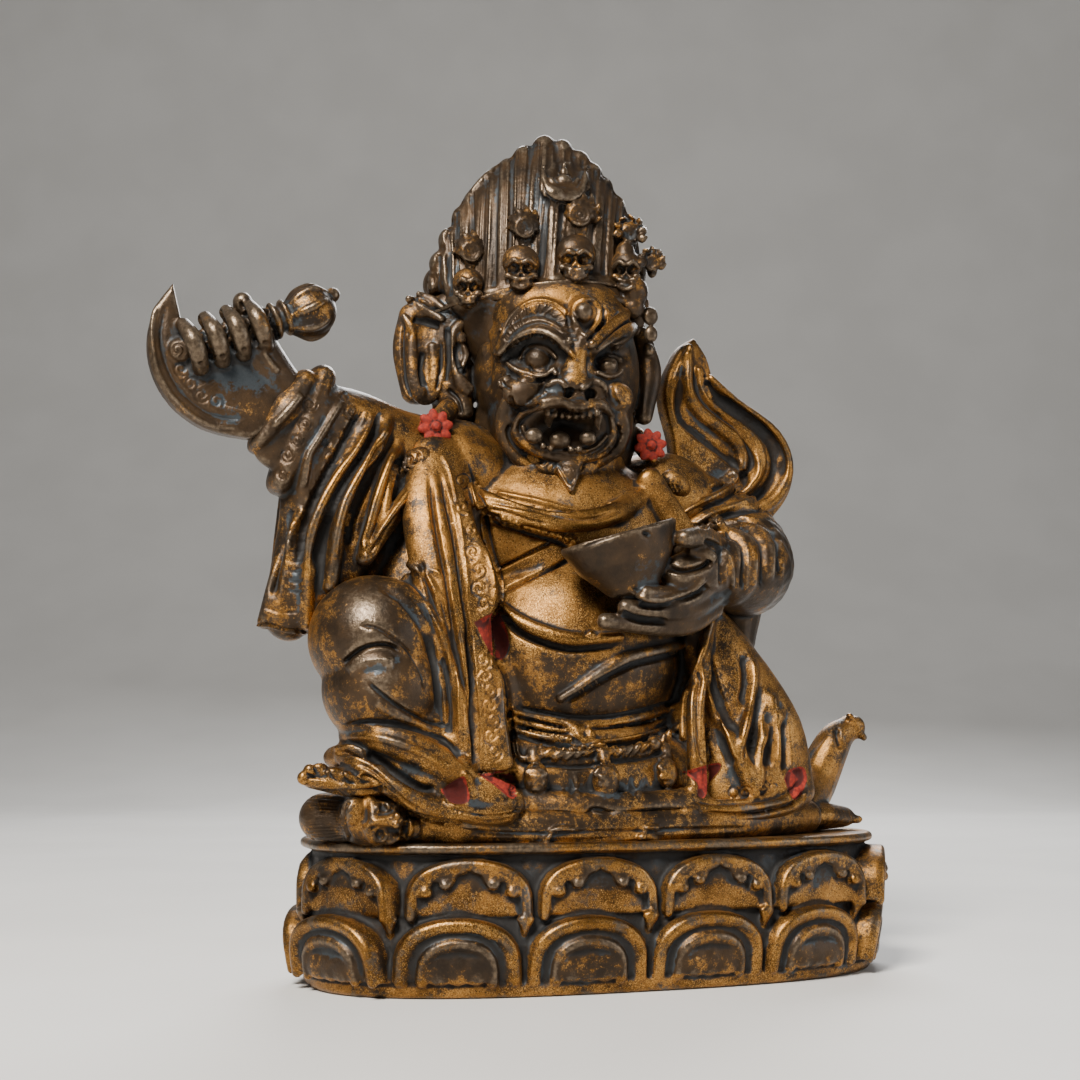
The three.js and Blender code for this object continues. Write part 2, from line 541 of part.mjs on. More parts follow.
// The head, built upright and facing forward, then turned and set on the neck
function head() {
  const small = { sides: 6, rings: 4, cap: 1 };
  const CORNERS = [[-5.6, -9.8, -7.2], [4.8, -9.8, -7.2]];
  // cheeks, nostrils and eyeballs
  const pairedForms = [(p) => p, mirrored].flatMap((at) => [
    ball(at([7, -8.8, -3.2]), [3, 2.6, 2.5], { sides: 8, rings: 6 }),
    ball(at([2, -11.8, -3.6]), [1.5, 1.4, 1.2], { sides: 6, rings: 4 }),
    ball(at([4.2, -10.9, 1.2]), [1.9, 1.6, 1.7], { sides: 8, rings: 5 }),
  ]);
  const ears = [
    limb([[-12.4, 1, 8], [-13.8, 0.2, 3], [-12.8, -0.6, -3]], [1.4, 1.8, 1.2], [1.4, 1.6, 1.2], small),
    limb([[10.4, 1.4, 8], [11.3, 1, 3], [10.4, 0.2, -3]], [1.2, 1.6, 1.1], [1.4, 1.6, 1.2], small),
  ];
  const brows = [
    limb([[-1.8, -12, 1.8], [-3.4, -12.2, 5], [-6.4, -11.2, 6.6], [-9.4, -9.2, 4.6],
      [-10.8, -7.4, 1.6]], 1.4, 1.3, {
      sides: 6,
      rings: 6,
    }),
    limb([[1.4, -12.2, 2.2], [3.6, -11.8, 4.2], [6, -10.4, 5.8], [9, -7.6, 7.4]], [1.1, 1.4, 1.3],
      1.3, small),
  ];
  const lips = [
    limb([CORNERS[0], [-3.6, -11.6, -5], [-0.8, -12.2, -6], [2, -11.6, -5.2], CORNERS[1]], 0.8, 1, {
      sides: 6,
      rings: 8,
      cap: 1,
    }),
    limb([CORNERS[0], [-3.8, -11.2, -10], [-0.6, -12, -11.2], [2.8, -11.2, -10], CORNERS[1]], 0.8, 1, {
      sides: 6,
      rings: 8,
      cap: 1,
    }),
  ];
  const parts = [
    ball([-0.3, 0, 2], [11.4, 11, 12.4], { sides: 14, rings: 10 }),
    ball([-0.2, -1.6, -5.6], [11.2, 9.6, 8.8]),
    ball([0, -12.2, -3], [1.8, 2, 1.5], { sides: 6, rings: 4 }),
    limb([[0, -10.6, 3.4], [0, -11.9, -1.6]], [1.4, 1.5], 1.2, { sides: 6, rings: 2, cap: 1 }),
    ball([0.9, -10.8, 7.6], [1.9, 1.3, 1.9], { sides: 8, rings: 5 }),
    limb([[-0.6, -10.8, -11.6], [-0.6, -11.4, -14.8]], [2, 0.7], [1.6, 0.8], { sides: 6, rings: 2, cap: 1 }),
    ...pairedForms,
    ...ears,
    ...brows,
    ...lips,
    ...crown(),
    ...hair(),
  ];
  const mouth = ball([-0.5, -12.2, -8], [4.6, 2.6, 2.2], { sides: 8, rings: 5 });
  const teeth = ball([-0.5, -9.8, -8], [3.8, 1.6, 1.6], { sides: 8, rings: 4 });
  const TURN = -12;
  return join(parts).subtract(mouth).add(teeth).rotate([0, 0, TURN]).translate([-4.3, -1, 55.7]);
}

// The diadem: a band, five skulls with a jewel over each, and a pleated ribbon at each ear
function crown() {
  const band = new THREE.TorusGeometry(11.4, 1.2, 5, 20);
  band.scale(1, 0.96, 1);
  band.translate(0, 0, 11.6);
  const skulls = [
    { angle: -62, centre: 11.4, jewel: 16.9 },
    { angle: -32, centre: 13.4, jewel: 18.7 },
    { angle: 0, centre: 14.2, jewel: 20.5 },
    { angle: 32, centre: 13.8, jewel: 18.8 },
    { angle: 62, centre: 11.6, jewel: 16.9 },
  ].flatMap(({ angle, centre, jewel }) => {
    const radians = THREE.MathUtils.degToRad(angle);
    const away = (radius, height) => [radius * Math.sin(radians), -radius * Math.cos(radians), height];
    const turn = [0, 0, angle];
    return [
      ball(away(11.3, centre + 0.5), [2.4, 2.2, 2.3], { turn, sides: 8, rings: 6 }),
      ball(away(11.7, centre - 2), [1.7, 1.7, 1.6], { turn, sides: 6, rings: 4 }),
      ball(away(9.4, jewel), [2, 1.8, 2.5], { turn, sides: 6, rings: 5 }),
    ];
  });
  const pleats = [0, 1, 2].map((i) =>
    limb([[-15.2 - i * 2.6, -0.6, 10.6 - i * 0.4], [-15.2 - i * 2.5, -0.8, 5],
      [-15 - i * 2.2, -0.6, 0.2]], 1, 1.1, {
      sides: 6,
      rings: 2,
      cap: 1,
    }),
  );
  return [
    solidOf(band),
    ...skulls,
    limb([[-16.6, 1.6, 10.4], [-17.6, 1.4, 5], [-17, 1.2, 0.6]], [3.2, 3.8, 3], 2.2, { rings: 3 }),
    limb([[9.6, 5.4, 10], [10.2, 5.4, 4.6], [9.8, 5.4, -0.4]], [2, 2.2, 1.8], 2.2, { rings: 3 }),
    ...pleats,
  ];
}

// The hair swept straight up in locks: a full row in front and a plainer one behind
function hair() {
  const tips = [
    [-16.2, 14.6], [-15.2, 19.6], [-12.8, 24.2], [-9.8, 27.8], [-6.4, 31], [-2.6, 33.6], [1, 32.4],
    [3.8, 29.9], [6.1, 26.6], [7.8, 22.6], [9, 17.8],
  ];
  const MIDDLE = -2.7; // of the row, along X
  const front = tips.map(([x, z], i) => {
    const wide = i === 5 ? 2.7 : 2.2;
    const side = Math.abs(x - MIDDLE) * 0.32;
    return limb(
      [[x * 0.8, -6.4 + side, 11.4], [x * 0.96, -4.4 + side, (z + 14) / 2], [x, 0.4, z - wide * 0.7]],
      [wide, wide, wide * 0.8],
      [2.6, 2.8, 2.2],
      { sides: 6, rings: 3 },
    );
  });
  const back = tips.filter((_, i) => i % 2 === 1).map(([x, z]) =>
    limb([[x * 0.7, 8, 6], [x * 0.85, 7, (z + 8) / 2], [x, 3, z - 3.4]], [4, 3.8, 2.6], [3, 3, 2.4],
      { sides: 6, rings: 3 }),
  );
  return [
    ball([MIDDLE, 0.8, 15], [12.4, 8, 16.8], { sides: 10, rings: 7 }),
    limb([[-3.4, -5.6, 27.6], [-3, -6, 25.2], [-0.6, -6.2, 24.2], [1.8, -6, 25.2], [2.2, -5.6, 27.6]],
      0.7, 0.9, {
      sides: 6,
      rings: 6,
      cap: 1,
    }),
    ...front,
    ...back,
  ];
}

// A five-petalled flower hanging from each ear, and the carved end below it
function earFlowers() {
  const flower = ([x, y, z]) => [
    ball([x, y, z], [1.2, 1.5, 1.2], { sides: 6, rings: 4 }),
    ...[0, 1, 2, 3, 4, 5].map((k) => {
      const angle = (k * Math.PI) / 3;
      return ball([x + 1.55 * Math.cos(angle), y + 0.3, z + 1.55 * Math.sin(angle)], [0.95, 1.2, 0.95], {
        sides: 6,
        rings: 4,
      });
    }),
  ];
  return [
    ...flower([-22.4, -5.6, 49.2]),
    ...flower([6.1, -5, 48.7]),
    limb([[-22.4, -3.4, 49.2], [-19.5, -2, 52]], 1.6, 1.6, { sides: 6, rings: 1, cap: 1 }),
    limb([[6.1, -3, 48.7], [5.4, -1, 50.4]], 1.6, 1.6, { sides: 6, rings: 1, cap: 1 }),
    ball([-24.8, -6, 44.6], [2.2, 1.6, 1.7], { turn: [0, -35, 0], sides: 6, rings: 4 }),
    ball([9.1, -5.4, 43.8], [2.2, 1.6, 1.5], { turn: [0, 35, 0], sides: 6, rings: 4 }),
  ];
}

// The fallen body under the figure: head and hair at one end, long trunk, feet at the other
function fallenBody() {
  return [
    limb([[-27, -11, 2], [-15, -14, 1.7], [0, -14.6, 1.6], [15, -12.8, 1.8], [25, -8, 2]],
      2.2, 2.3, { rings: 8 }),
    ball([-32.4, -8.6, 2.7], [4.8, 5, 3.6], { sides: 10, rings: 6 }),
    limb([[-31, -7, 2.4], [-35.6, -5.4, 2.3]], [4.6, 3.6], [3.6, 3], { face: [0, 0, 1], rings: 2 }),
    limb([[26, -3, 2.4], [31.4, 1.4, 5.4], [35, 2, 11], [37.4, 2, 13.2]], [4, 3.6, 3, 1.8],
      [3.4, 3, 2.4, 1.6], {
      face: [0.6, -0.6, -0.5],
    }),
    limb([[24, -5, 1.8], [29.5, -4, 1.8], [33.4, -2.6, 1.6]], [3, 2.8, 2], [2, 1.8, 1.4],
      { face: [0, 0, 1] }),
    ball([-3, -15.6, 2.9], [1.7, 1.2, 1], { sides: 6, rings: 4 }),
    ball([6, -15, 3], [1.8, 1.2, 1], { sides: 6, rings: 4 }),
  ];
}

const figure = join([
  ...trunk(),
  ...rightLeg(),
  ...leftLeg(),
  ...lap(),
  ...borders(),
  ...rightSleeve(),
  ...rightHand(),
  chopperBlade(),
  ...leftArm(),
  skullCup(),
  ...scarf(),
  head(),
  ...earFlowers(),
  ...fallenBody(),
]);

// The outer skin of a solid, without any hollow that is shut inside where forms cross
function outerSkin(solid) {
  return solid.decompose().reduce((outer, skin) => (skin.volume() > outer.volume() ? skin : outer));
}

// The figure is cut level where it meets the base, then joined to it
function wholeCasting() {
  const below = new THREE.BoxGeometry(4 * BASE_WIDTH, 4 * BASE_WIDTH, BASE_WIDTH);
  below.translate(0, 0, -BASE_WIDTH / 2 - 0.6);
  const seated = figure.subtract(solidOf(below)).scale([UNIT, UNIT, UNIT]).translate([0, 0, SEAT_HEIGHT]);
  return outerSkin(lotusBase().add(seated));
}

// A solid's surface as a geometry
function surfaceOf(solid) {
  const { numProp, numVert, vertProperties, triVerts } = solid.getMesh();
  const positions = new Float32Array(numVert * 3);
  for (let i = 0; i < numVert; i++) {
    positions.set(vertProperties.subarray(i * numProp, i * numProp + 3), i * 3);
  }
  const geometry = new THREE.BufferGeometry();
  geometry.setAttribute("position", new THREE.BufferAttribute(positions, 3));
  geometry.setIndex(new THREE.BufferAttribute(triVerts, 1));
  return geometry;
}

// The same solid with its small facets merged until about a number of them is left
async function thinned(solid, facets) {
  const spareVertices = Math.max(0, solid.numVert() - facets / 2);
  const geometry = await new SimplifyModifier().modify(surfaceOf(solid), spareVertices);
  return outerSkin(solidOf(geometry));
}

// Edges along which two skins only touch, so that four facets meet there instead of two
function touchingEdges(solid) {
  const { position } = mergeVertices(surfaceOf(solid), TOUCH).attributes;
  const { array } = mergeVertices(surfaceOf(solid), TOUCH).index;
  const facetsOnEdge = new Map();
  for (let i = 0; i < array.length; i += 3) {
    const [a, b, c] = array.slice(i, i + 3);
    for (const [from, to] of [[a, b], [b, c], [c, a]]) {
      const edge = `${Math.min(from, to)} ${Math.max(from, to)}`;
      facetsOnEdge.set(edge, (facetsOnEdge.get(edge) ?? 0) + 1);
    }
  }
  return [...facetsOnEdge]
    .filter(([, facets]) => facets > 2)
    .map(([edge]) => edge.split(" ").map((i) => new THREE.Vector3().fromBufferAttribute(position, i)));
}

// Runs metal in along each such edge, as the casting does
function runTogether(solid) {
  const beads = touchingEdges(solid).map(([start, end]) => {
    const bead = new THREE.OctahedronGeometry(1);
    bead.scale(BEAD, start.distanceTo(end) / 2 + BEAD, BEAD);
    const along = end.clone().sub(start).normalize();
    bead.applyQuaternion(new THREE.Quaternion().setFromUnitVectors(new THREE.Vector3(0, 1, 0), along));
    bead.translate(...start.add(end).divideScalar(2));
    return solidOf(bead);
  });
  return outerSkin(join([solid, ...beads]));
}

const giltBronze = new THREE.MeshStandardMaterial({ color: 0x7a5526, roughness: 0.45, metalness: 0.85 });

const castSurface = surfaceOf(runTogether(await thinned(wholeCasting(), MOST_FACETS)));
castSurface.computeVertexNormals();
const casting = new THREE.Mesh(castSurface, giltBronze);
casting.name = "mahakala_on_lotus_base";

const group = new THREE.Group();
group.add(casting);
export default group;
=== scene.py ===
# %% [markdown]
# # A small gilt bronze Mahakala
# The real figure is one lost-wax casting: the carver builds the figure in wax, rolls, presses
# and engraves it, and bronze takes the wax's place. Later come gilding, a little red paint and
# a long life of rubbing and grime. This file works in the same order: wax forms, one skin run
# over them, engraving, then the finish. A sculpting brush could shape the same forms by hand,
# but only a written order of forms and cuts gives the same figure each time.

import math

import bmesh
import bpy
import numpy as np
from mathutils import Euler, Matrix, Vector
from mathutils.bvhtree import BVHTree


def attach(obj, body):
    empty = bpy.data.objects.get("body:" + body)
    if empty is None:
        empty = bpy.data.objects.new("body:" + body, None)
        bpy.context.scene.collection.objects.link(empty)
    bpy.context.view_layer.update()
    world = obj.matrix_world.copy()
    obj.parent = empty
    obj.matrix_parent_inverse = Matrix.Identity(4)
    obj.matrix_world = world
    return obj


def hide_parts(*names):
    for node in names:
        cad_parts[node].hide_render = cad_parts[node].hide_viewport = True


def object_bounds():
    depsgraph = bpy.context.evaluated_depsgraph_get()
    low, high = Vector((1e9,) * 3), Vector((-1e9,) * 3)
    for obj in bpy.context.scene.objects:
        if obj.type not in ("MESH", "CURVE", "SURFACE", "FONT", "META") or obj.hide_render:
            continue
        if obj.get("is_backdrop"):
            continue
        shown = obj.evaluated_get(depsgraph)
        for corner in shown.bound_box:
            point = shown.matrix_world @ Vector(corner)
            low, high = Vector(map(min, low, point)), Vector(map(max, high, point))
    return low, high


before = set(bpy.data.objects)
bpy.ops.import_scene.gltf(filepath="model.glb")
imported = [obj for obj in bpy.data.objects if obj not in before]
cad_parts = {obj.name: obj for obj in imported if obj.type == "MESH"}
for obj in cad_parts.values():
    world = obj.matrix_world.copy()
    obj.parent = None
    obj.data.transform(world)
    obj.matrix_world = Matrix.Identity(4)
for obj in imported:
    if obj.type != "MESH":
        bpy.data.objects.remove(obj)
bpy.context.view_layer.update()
NODE = "mahakala_on_lotus_base"

# %% [markdown]
# ## The carver's drawing
# A carver pins a drawing of the front view beside the work and transfers each line to the wax.
# Here the drawing is a square grid of 1080 steps as seen from the viewing place, a little to
# the figure's right and slightly below its chest. Forms are laid out in millimetres above the
# seat, the top of the base, and lines of the drawing are cast from the eye onto the wax.

# %% The viewing place
SEAT = 17.0
GRID = 1080
FOCAL = 1600
DISTANCE = 203.0
EYE_HEIGHT = 28.5
TURN = math.radians(-19)
RISE = math.atan(200 / FOCAL)
MIDDLE = 594

across = np.array([math.cos(TURN), math.sin(TURN), 0.0])
level = np.array([-math.sin(TURN), math.cos(TURN), 0.0])
plumb = np.array([0.0, 0.0, 1.0])
ahead = level * math.cos(RISE) + plumb * math.sin(RISE)
upward = plumb * math.cos(RISE) - level * math.sin(RISE)
eye = (EYE_HEIGHT - SEAT) * plumb - DISTANCE * level
eye = eye - across * (MIDDLE - GRID / 2) / FOCAL * DISTANCE
STEP = DISTANCE / FOCAL
FRONT = (0, -1, 0)
MM = 0.001
print("the eye, in mm above the seat", eye.round(2), "one step is", round(STEP, 4), "mm")


def drawn(points):
    """Where points fall on the drawing, and how far they are from the eye."""
    away = points - eye
    depth = away @ ahead
    u = GRID / 2 + FOCAL * (away @ across) / depth
    v = GRID / 2 - FOCAL * (away @ upward) / depth
    return np.stack([u, v], 1), depth


def circle(u, v, wide, high=None):
    """Eight places of the drawing on a ring."""
    high = wide if high is None else high
    return [(u + wide * math.cos(a), v + high * math.sin(a)) for a in np.linspace(0, math.tau, 9)[:-1]]


def sight(u, v):
    """The direction from the eye through a place on the drawing."""
    ray = ahead + across * (u - GRID / 2) / FOCAL + upward * (GRID / 2 - v) / FOCAL
    return Vector(ray / np.linalg.norm(ray))


def curve(points, count=60):
    """A smooth line through a few points."""
    p = np.asarray(points, float)
    p = np.vstack([2 * p[0] - p[1], p, 2 * p[-1] - p[-2]])
    along = np.linspace(0, len(p) - 3, count)
    i = np.minimum(along.astype(int), len(p) - 4)
    t = (along - i)[:, None]
    a, b, c, d = p[i], p[i + 1], p[i + 2], p[i + 3]
    return 0.5 * (2 * b + (c - a) * t + (2 * a - 5 * b + 4 * c - d) * t**2 + (3 * b - a - 3 * c + d) * t**3)


# %% [markdown]
# ## Wax, skin and graver
# Each piece begins as wax balls and rolls, which are spheres stretched and bent along a line.
# A voxel remesh runs one skin over them, as the metal does, and a light smoothing softens the
# joints. Engraving then moves the skin's own vertices in or out along lines of the drawing,
# which gives grooves and ridges that cross any number of forms, and every vertex keeps notes
# on gilding, red paint, grime with painted shade, and wear with a painted sheen for the finish
# to read.

# %% Baking helpers
NOTES = ("raised", "gilt", "red", "soot_and_shade", "rub_and_sheen")


def baked(thing):
    """The mesh of an object with its modifiers applied."""
    graph = bpy.context.evaluated_depsgraph_get()
    return bpy.data.meshes.new_from_object(
        thing.evaluated_get(graph), preserve_all_data_layers=True, depsgraph=graph
    )


def shaped(mesh, name, *steps):
    """A mesh after some modifiers, each a type and its settings."""
    thing = bpy.data.objects.new(name, mesh)
    bpy.context.scene.collection.objects.link(thing)
    for kind, settings in steps:
        modifier = thing.modifiers.new(kind, kind)
        for key, value in settings.items():
            setattr(modifier, key, value)
    result = baked(thing)
    bpy.data.objects.remove(thing)
    return result


def without_crumbs(mesh, least=60, flat=0.002):
    """Clears a mesh of loose scraps with too few points and of faces with no width."""
    form = bmesh.new()
    form.from_mesh(mesh)
    bmesh.ops.dissolve_degenerate(form, dist=flat, edges=form.edges)
    form.verts.index_update()
    a, b = np.array([[v.index for v in edge.verts] for edge in form.edges]).T
    part = np.arange(len(form.verts))
    while True:
        lowest = part.copy()
        np.minimum.at(lowest, a, part[b])
        np.minimum.at(lowest, b, part[a])
        lowest = lowest[lowest]
        if (lowest == part).all():
            break
        part = lowest
    size = np.bincount(part, minlength=len(part))[part]
    crumbs = [vert for vert, points in zip(form.verts, size) if points < least]
    bmesh.ops.delete(form, geom=crumbs, context="VERTS")
    form.to_mesh(mesh)
    form.free()
    return len(crumbs)


# %% [markdown]
# The graver has to know how far each point of the skin lies from a line or an outline. Both
# are measured on the drawing, because a line there has no depth of its own.

# %% Measuring on the drawing
def near_line(places, line):
    """Distance, signed side and share along a line for places on the drawing."""
    start, run = line[:-1], np.diff(line, axis=0)
    length = np.maximum((run**2).sum(1), 1e-9)
    best = np.full(len(places), 1e9)
    side = np.zeros(len(places))
    share = np.zeros(len(places))
    for i in range(len(run)):
        away = places - start[i]
        t = np.clip((away @ run[i]) / length[i], 0, 1)
        off = away - t[:, None] * run[i]
        apart = (off**2).sum(1)
        closer = apart < best
        best[closer] = apart[closer]
        side[closer] = np.sign(run[i][0] * off[closer, 1] - run[i][1] * off[closer, 0])
        share[closer] = (i + t[closer]) / len(run)
    return np.sqrt(best), side, share


def within(places, outline):
    """Which places lie inside a closed outline."""
    inside = np.zeros(len(places), bool)
    for (x0, y0), (x1, y1) in zip(outline, np.roll(outline, -1, axis=0)):
        if y0 == y1:
            continue
        crosses = (y0 > places[:, 1]) != (y1 > places[:, 1])
        inside ^= crosses & (places[:, 0] < x0 + (places[:, 1] - y0) * (x1 - x0) / (y1 - y0))
    return inside


def ease(amount):
    """0 to 1 with soft ends."""
    amount = np.clip(amount, 0, 1)
    return amount * amount * (3 - 2 * amount)


# %% [markdown]
# ## A piece of the casting
# Every piece is made in the same steps, so one class holds them: laying wax in space or along
# a line of the drawing, running the skin, engraving it, noting the finish and handing it over.
# Spheres serve for all round forms because their poles close a roll without a seam.

# %% The casting
class Casting:
    """One piece: wax forms, then the skin over them, in millimetres above the seat."""

    def __init__(self, name, place=None):
        self.name = name
        self.place = place or Matrix()
        self.forms = []

    def keep(self, form, placed=False):
        """Sets one finished form aside, put in place unless it is there already."""
        if not placed:
            bmesh.ops.transform(form, matrix=self.place, verts=form.verts)
        bmesh.ops.recalc_face_normals(form, faces=form.faces)
        mesh = bpy.data.meshes.new("form")
        form.to_mesh(mesh)
        form.free()
        self.forms.append(mesh)

    def all_wax(self):
        """Every form so far in one bmesh."""
        wax = bmesh.new()
        for mesh in self.forms:
            wax.from_mesh(mesh)
        return wax

    def ball(self, centre, radii, turn=(0, 0, 0), sides=20, placed=False):
        """A sphere pressed to three radii and turned by degrees."""
        radii = (radii,) * 3 if isinstance(radii, (int, float)) else radii
        turn = Euler([math.radians(a) for a in turn])
        place = Matrix.LocRotScale(Vector(centre), turn, Vector(radii))
        form = bmesh.new()
        bmesh.ops.create_uvsphere(
            form, u_segments=sides, v_segments=sides * 2 // 3, radius=1, matrix=place
        )
        self.keep(form, placed)

    def limb(self, spine, wide, deep=None, face=FRONT, sides=14, placed=False):
        """A roll bent along a spine, so wide across it and so deep towards the side it faces."""
        CAP, ALONG = math.pi / 4, 160
        rings = 16 + 3 * min(len(spine), 20)
        form = bmesh.new()
        verts = bmesh.ops.create_uvsphere(form, u_segments=sides, v_segments=rings, radius=1)["verts"]
        unit = np.array([v.co[:] for v in verts])
        polar = np.arccos(np.clip(unit[:, 2], -1, 1))
        share = np.clip((polar - CAP) / (math.pi - 2 * CAP), 0, 1)
        tip = np.minimum(np.minimum(polar, math.pi - polar) / CAP, 1) * math.pi / 2
        past = np.where(polar < math.pi / 2, -np.cos(tip), np.cos(tip))
        flat = np.maximum(np.hypot(unit[:, 0], unit[:, 1]), 1e-9)
        line = curve(spine, ALONG)
        run = np.gradient(line, axis=0)
        run /= np.linalg.norm(run, axis=1)[:, None]
        at = np.linspace(0, 1, len(line))
        middle = np.stack([np.interp(share, at, line[:, k]) for k in range(3)], 1)
        tangent = np.stack([np.interp(share, at, run[:, k]) for k in range(3)], 1)
        tangent /= np.linalg.norm(tangent, axis=1)[:, None]
        aside = np.cross(tangent, np.asarray(face, float))
        aside /= np.maximum(np.linalg.norm(aside, axis=1), 1e-9)[:, None]
        out = np.cross(aside, tangent)
        wide = np.atleast_1d(wide)
        deep = wide if deep is None else np.atleast_1d(deep)
        half_wide = np.interp(share, np.linspace(0, 1, len(wide)), wide)
        half_deep = np.interp(share, np.linspace(0, 1, len(deep)), deep)
        ring = np.sin(tip)
        spot = (
            middle
            + aside * (unit[:, 0] / flat * ring * half_wide)[:, None]
            + out * (unit[:, 1] / flat * ring * half_deep)[:, None]
            + tangent * (past * np.minimum(half_wide, half_deep))[:, None]
        )
        for v, spot_of_v in zip(verts, spot):
            v.co = spot_of_v
        self.keep(form, placed)

    def limbs(self, spines, wide, deep=None, **rest):
        """Several rolls of one thickness."""
        for spine in spines:
            self.limb(spine, wide, deep, **rest)

    def slab(self, outline, thick, place, bevel=0.3, smooth=True):
        """A plate cut to an outline, [across, up] pairs, whose front edge is rounded."""
        flat = curve(list(outline) + [outline[0]], 5 * len(outline))[:-1] if smooth else outline
        form = bmesh.new()
        verts = [form.verts.new((x, 0, z)) for x, z in flat]
        face = form.faces.new(verts)
        grown = bmesh.ops.extrude_face_region(form, geom=[face])["geom"]
        front = [v for v in grown if isinstance(v, bmesh.types.BMVert)]
        bmesh.ops.translate(form, verts=front, vec=(0, -thick, 0))
        ends = set(front)
        rim = [e for e in form.edges if e.verts[0] in ends and e.verts[1] in ends]
        bmesh.ops.bevel(
            form, geom=rim, offset=bevel, affect="EDGES", segments=2, profile=0.5, material=-1
        )
        bmesh.ops.transform(form, matrix=place, verts=form.verts)
        self.keep(form)

    def settle(self, *under):
        """Notes the outside of the wax, and of pieces under it, for forms pressed onto it."""
        wax = self.all_wax()
        for piece in under:
            wax.from_mesh(piece.mesh)
        self.outside = BVHTree.FromBMesh(wax)
        wax.free()

    def onto(self, u, v, lift=0.0):
        """The point of the wax seen at a place on the drawing, lifted towards the eye."""
        ray = sight(u, v)
        hit = self.outside.ray_cast(Vector(eye), ray)[0]
        if hit is None:
            guess = Vector(eye) + ray * (DISTANCE / ray.dot(Vector(ahead)))
            near = self.outside.find_nearest(guess)[0]
            reach = (near - Vector(eye)).dot(Vector(ahead)) / ray.dot(Vector(ahead))
            hit = Vector(eye) + ray * reach
        return hit - ray * lift

    def press(self, u, v, radii, lift=0.0, turn=(0, 0, 0)):
        """A ball pressed onto the wax at a place on the drawing."""
        self.ball(self.onto(u, v, lift), radii, turn, placed=True)

    def roll(self, route, wide, deep=None, lift=0.0, closed=False):
        """A roll of wax laid along a line of the drawing."""
        route = list(route) + [route[0]] if closed else route
        line = curve(route, max(8, 5 * len(route)))
        spine = np.array([self.onto(u, v, lift) for u, v in line])
        depth = (spine - eye) @ ahead
        for _ in range(3):
            depth[1:-1] = (depth[:-2] + 2 * depth[1:-1] + depth[2:]) / 4
        rays = (spine - eye) / ((spine - eye) @ ahead)[:, None]
        spine = eye + rays * depth[:, None]
        spine = spine[::2] if len(spine) > 12 else spine
        self.limb(spine, wide, deep, face=-ahead, sides=12, placed=True)

    def beads(self, route, pitch, radii, lift=0.0, twist=0.0):
        """Balls at an even pitch along a line of the drawing, turned by an angle to it."""
        line = curve(route, 40 * len(route))
        lengths = np.append(0, np.cumsum(np.linalg.norm(np.diff(line, axis=0), axis=1)))
        count = max(2, round(lengths[-1] / pitch) + 1)
        for reach in np.linspace(0, lengths[-1], count):
            u, v = (np.interp(reach, lengths, line[:, k]) for k in range(2))
            ahead_u, ahead_v = (np.interp(reach + 2, lengths, line[:, k]) for k in range(2))
            slope = math.degrees(math.atan2(ahead_v - v, ahead_u - u))
            self.press(u, v, radii, lift, (0, slope + twist, 0))

    def skin(self, voxel, soften=2):
        """Runs one skin over the wax and gets it ready for the graver."""
        wax = self.all_wax()
        mesh = bpy.data.meshes.new(self.name)
        wax.to_mesh(mesh)
        wax.free()
        self.mesh = shaped(
            mesh,
            self.name + "_wax",
            ("REMESH", {"mode": "VOXEL", "voxel_size": voxel}),
            ("SMOOTH", {"factor": 0.5, "iterations": soften}),
        )
        self.read()
        self.notes = {name: np.zeros(len(self.points)) for name in NOTES}

    def again(self, *under):
        """Takes the engraved skin back as wax, so that more can be laid onto it."""
        self.forms = [self.mesh]
        self.settle(*under)

    def read(self):
        """Takes points, normals and edges from the mesh, and finds what the eye sees."""
        mesh, count = self.mesh, len(self.mesh.vertices)
        self.points = np.empty(count * 3, np.float32)
        mesh.vertices.foreach_get("co", self.points)
        self.points = self.points.reshape(-1, 3).astype(float)
        normals = np.empty(count * 3, np.float32)
        mesh.vertex_normals.foreach_get("vector", normals)
        self.normals = normals.reshape(-1, 3).astype(float)
        edges = np.empty(len(mesh.edges) * 2, np.int32)
        mesh.edges.foreach_get("vertices", edges)
        self.edges = edges.reshape(-1, 2)
        self.places, depth = drawn(self.points)
        CELL, HIDDEN, FAR = 3, 1.6, 1e9
        column = (self.places[:, 0] / CELL).astype(int).clip(1, GRID // CELL)
        row = (self.places[:, 1] / CELL).astype(int).clip(1, GRID // CELL)
        nearest = np.full((GRID // CELL + 3, GRID // CELL + 3), FAR)
        np.minimum.at(nearest, (column, row), depth)
        facing = ((self.points - eye) * self.normals).sum(1) < 0
        self.seen = facing & (depth < nearest[column, row] + HIDDEN)
        self.shift = np.zeros(count)

    def rest(self, low=-0.4):
        """Flattens what hangs below the seat."""
        self.points[:, 2] = np.maximum(self.points[:, 2], low)
        self.mesh.vertices.foreach_set("co", self.points.astype(np.float32).ravel())
        self.mesh.update()
        self.read()

    def close_to(self, route, width):
        """The seen vertices near a line of the drawing, with their distance in mm."""
        low, high = route.min(0) - width / STEP, route.max(0) + width / STEP
        chosen = self.seen & (self.places > low).all(1) & (self.places < high).all(1)
        chosen = np.flatnonzero(chosen)
        apart, side, share = near_line(self.places[chosen], route)
        apart *= STEP
        kept = apart < width
        return chosen[kept], apart[kept], side[kept], share[kept]

    def carve(self, route, width, height, taper=0.15, closed=False):
        """A ridge, or with a height below 0 a groove, along a line of the drawing."""
        route = curve(list(route) + [route[0]] if closed else route, 6 * len(route))
        chosen, apart, _, share = self.close_to(route, width)
        ends = 1 if closed or not taper else ease(np.minimum(share, 1 - share) / taper)
        self.shift[chosen] += height * (1 - (apart / width) ** 2) ** 2 * ends

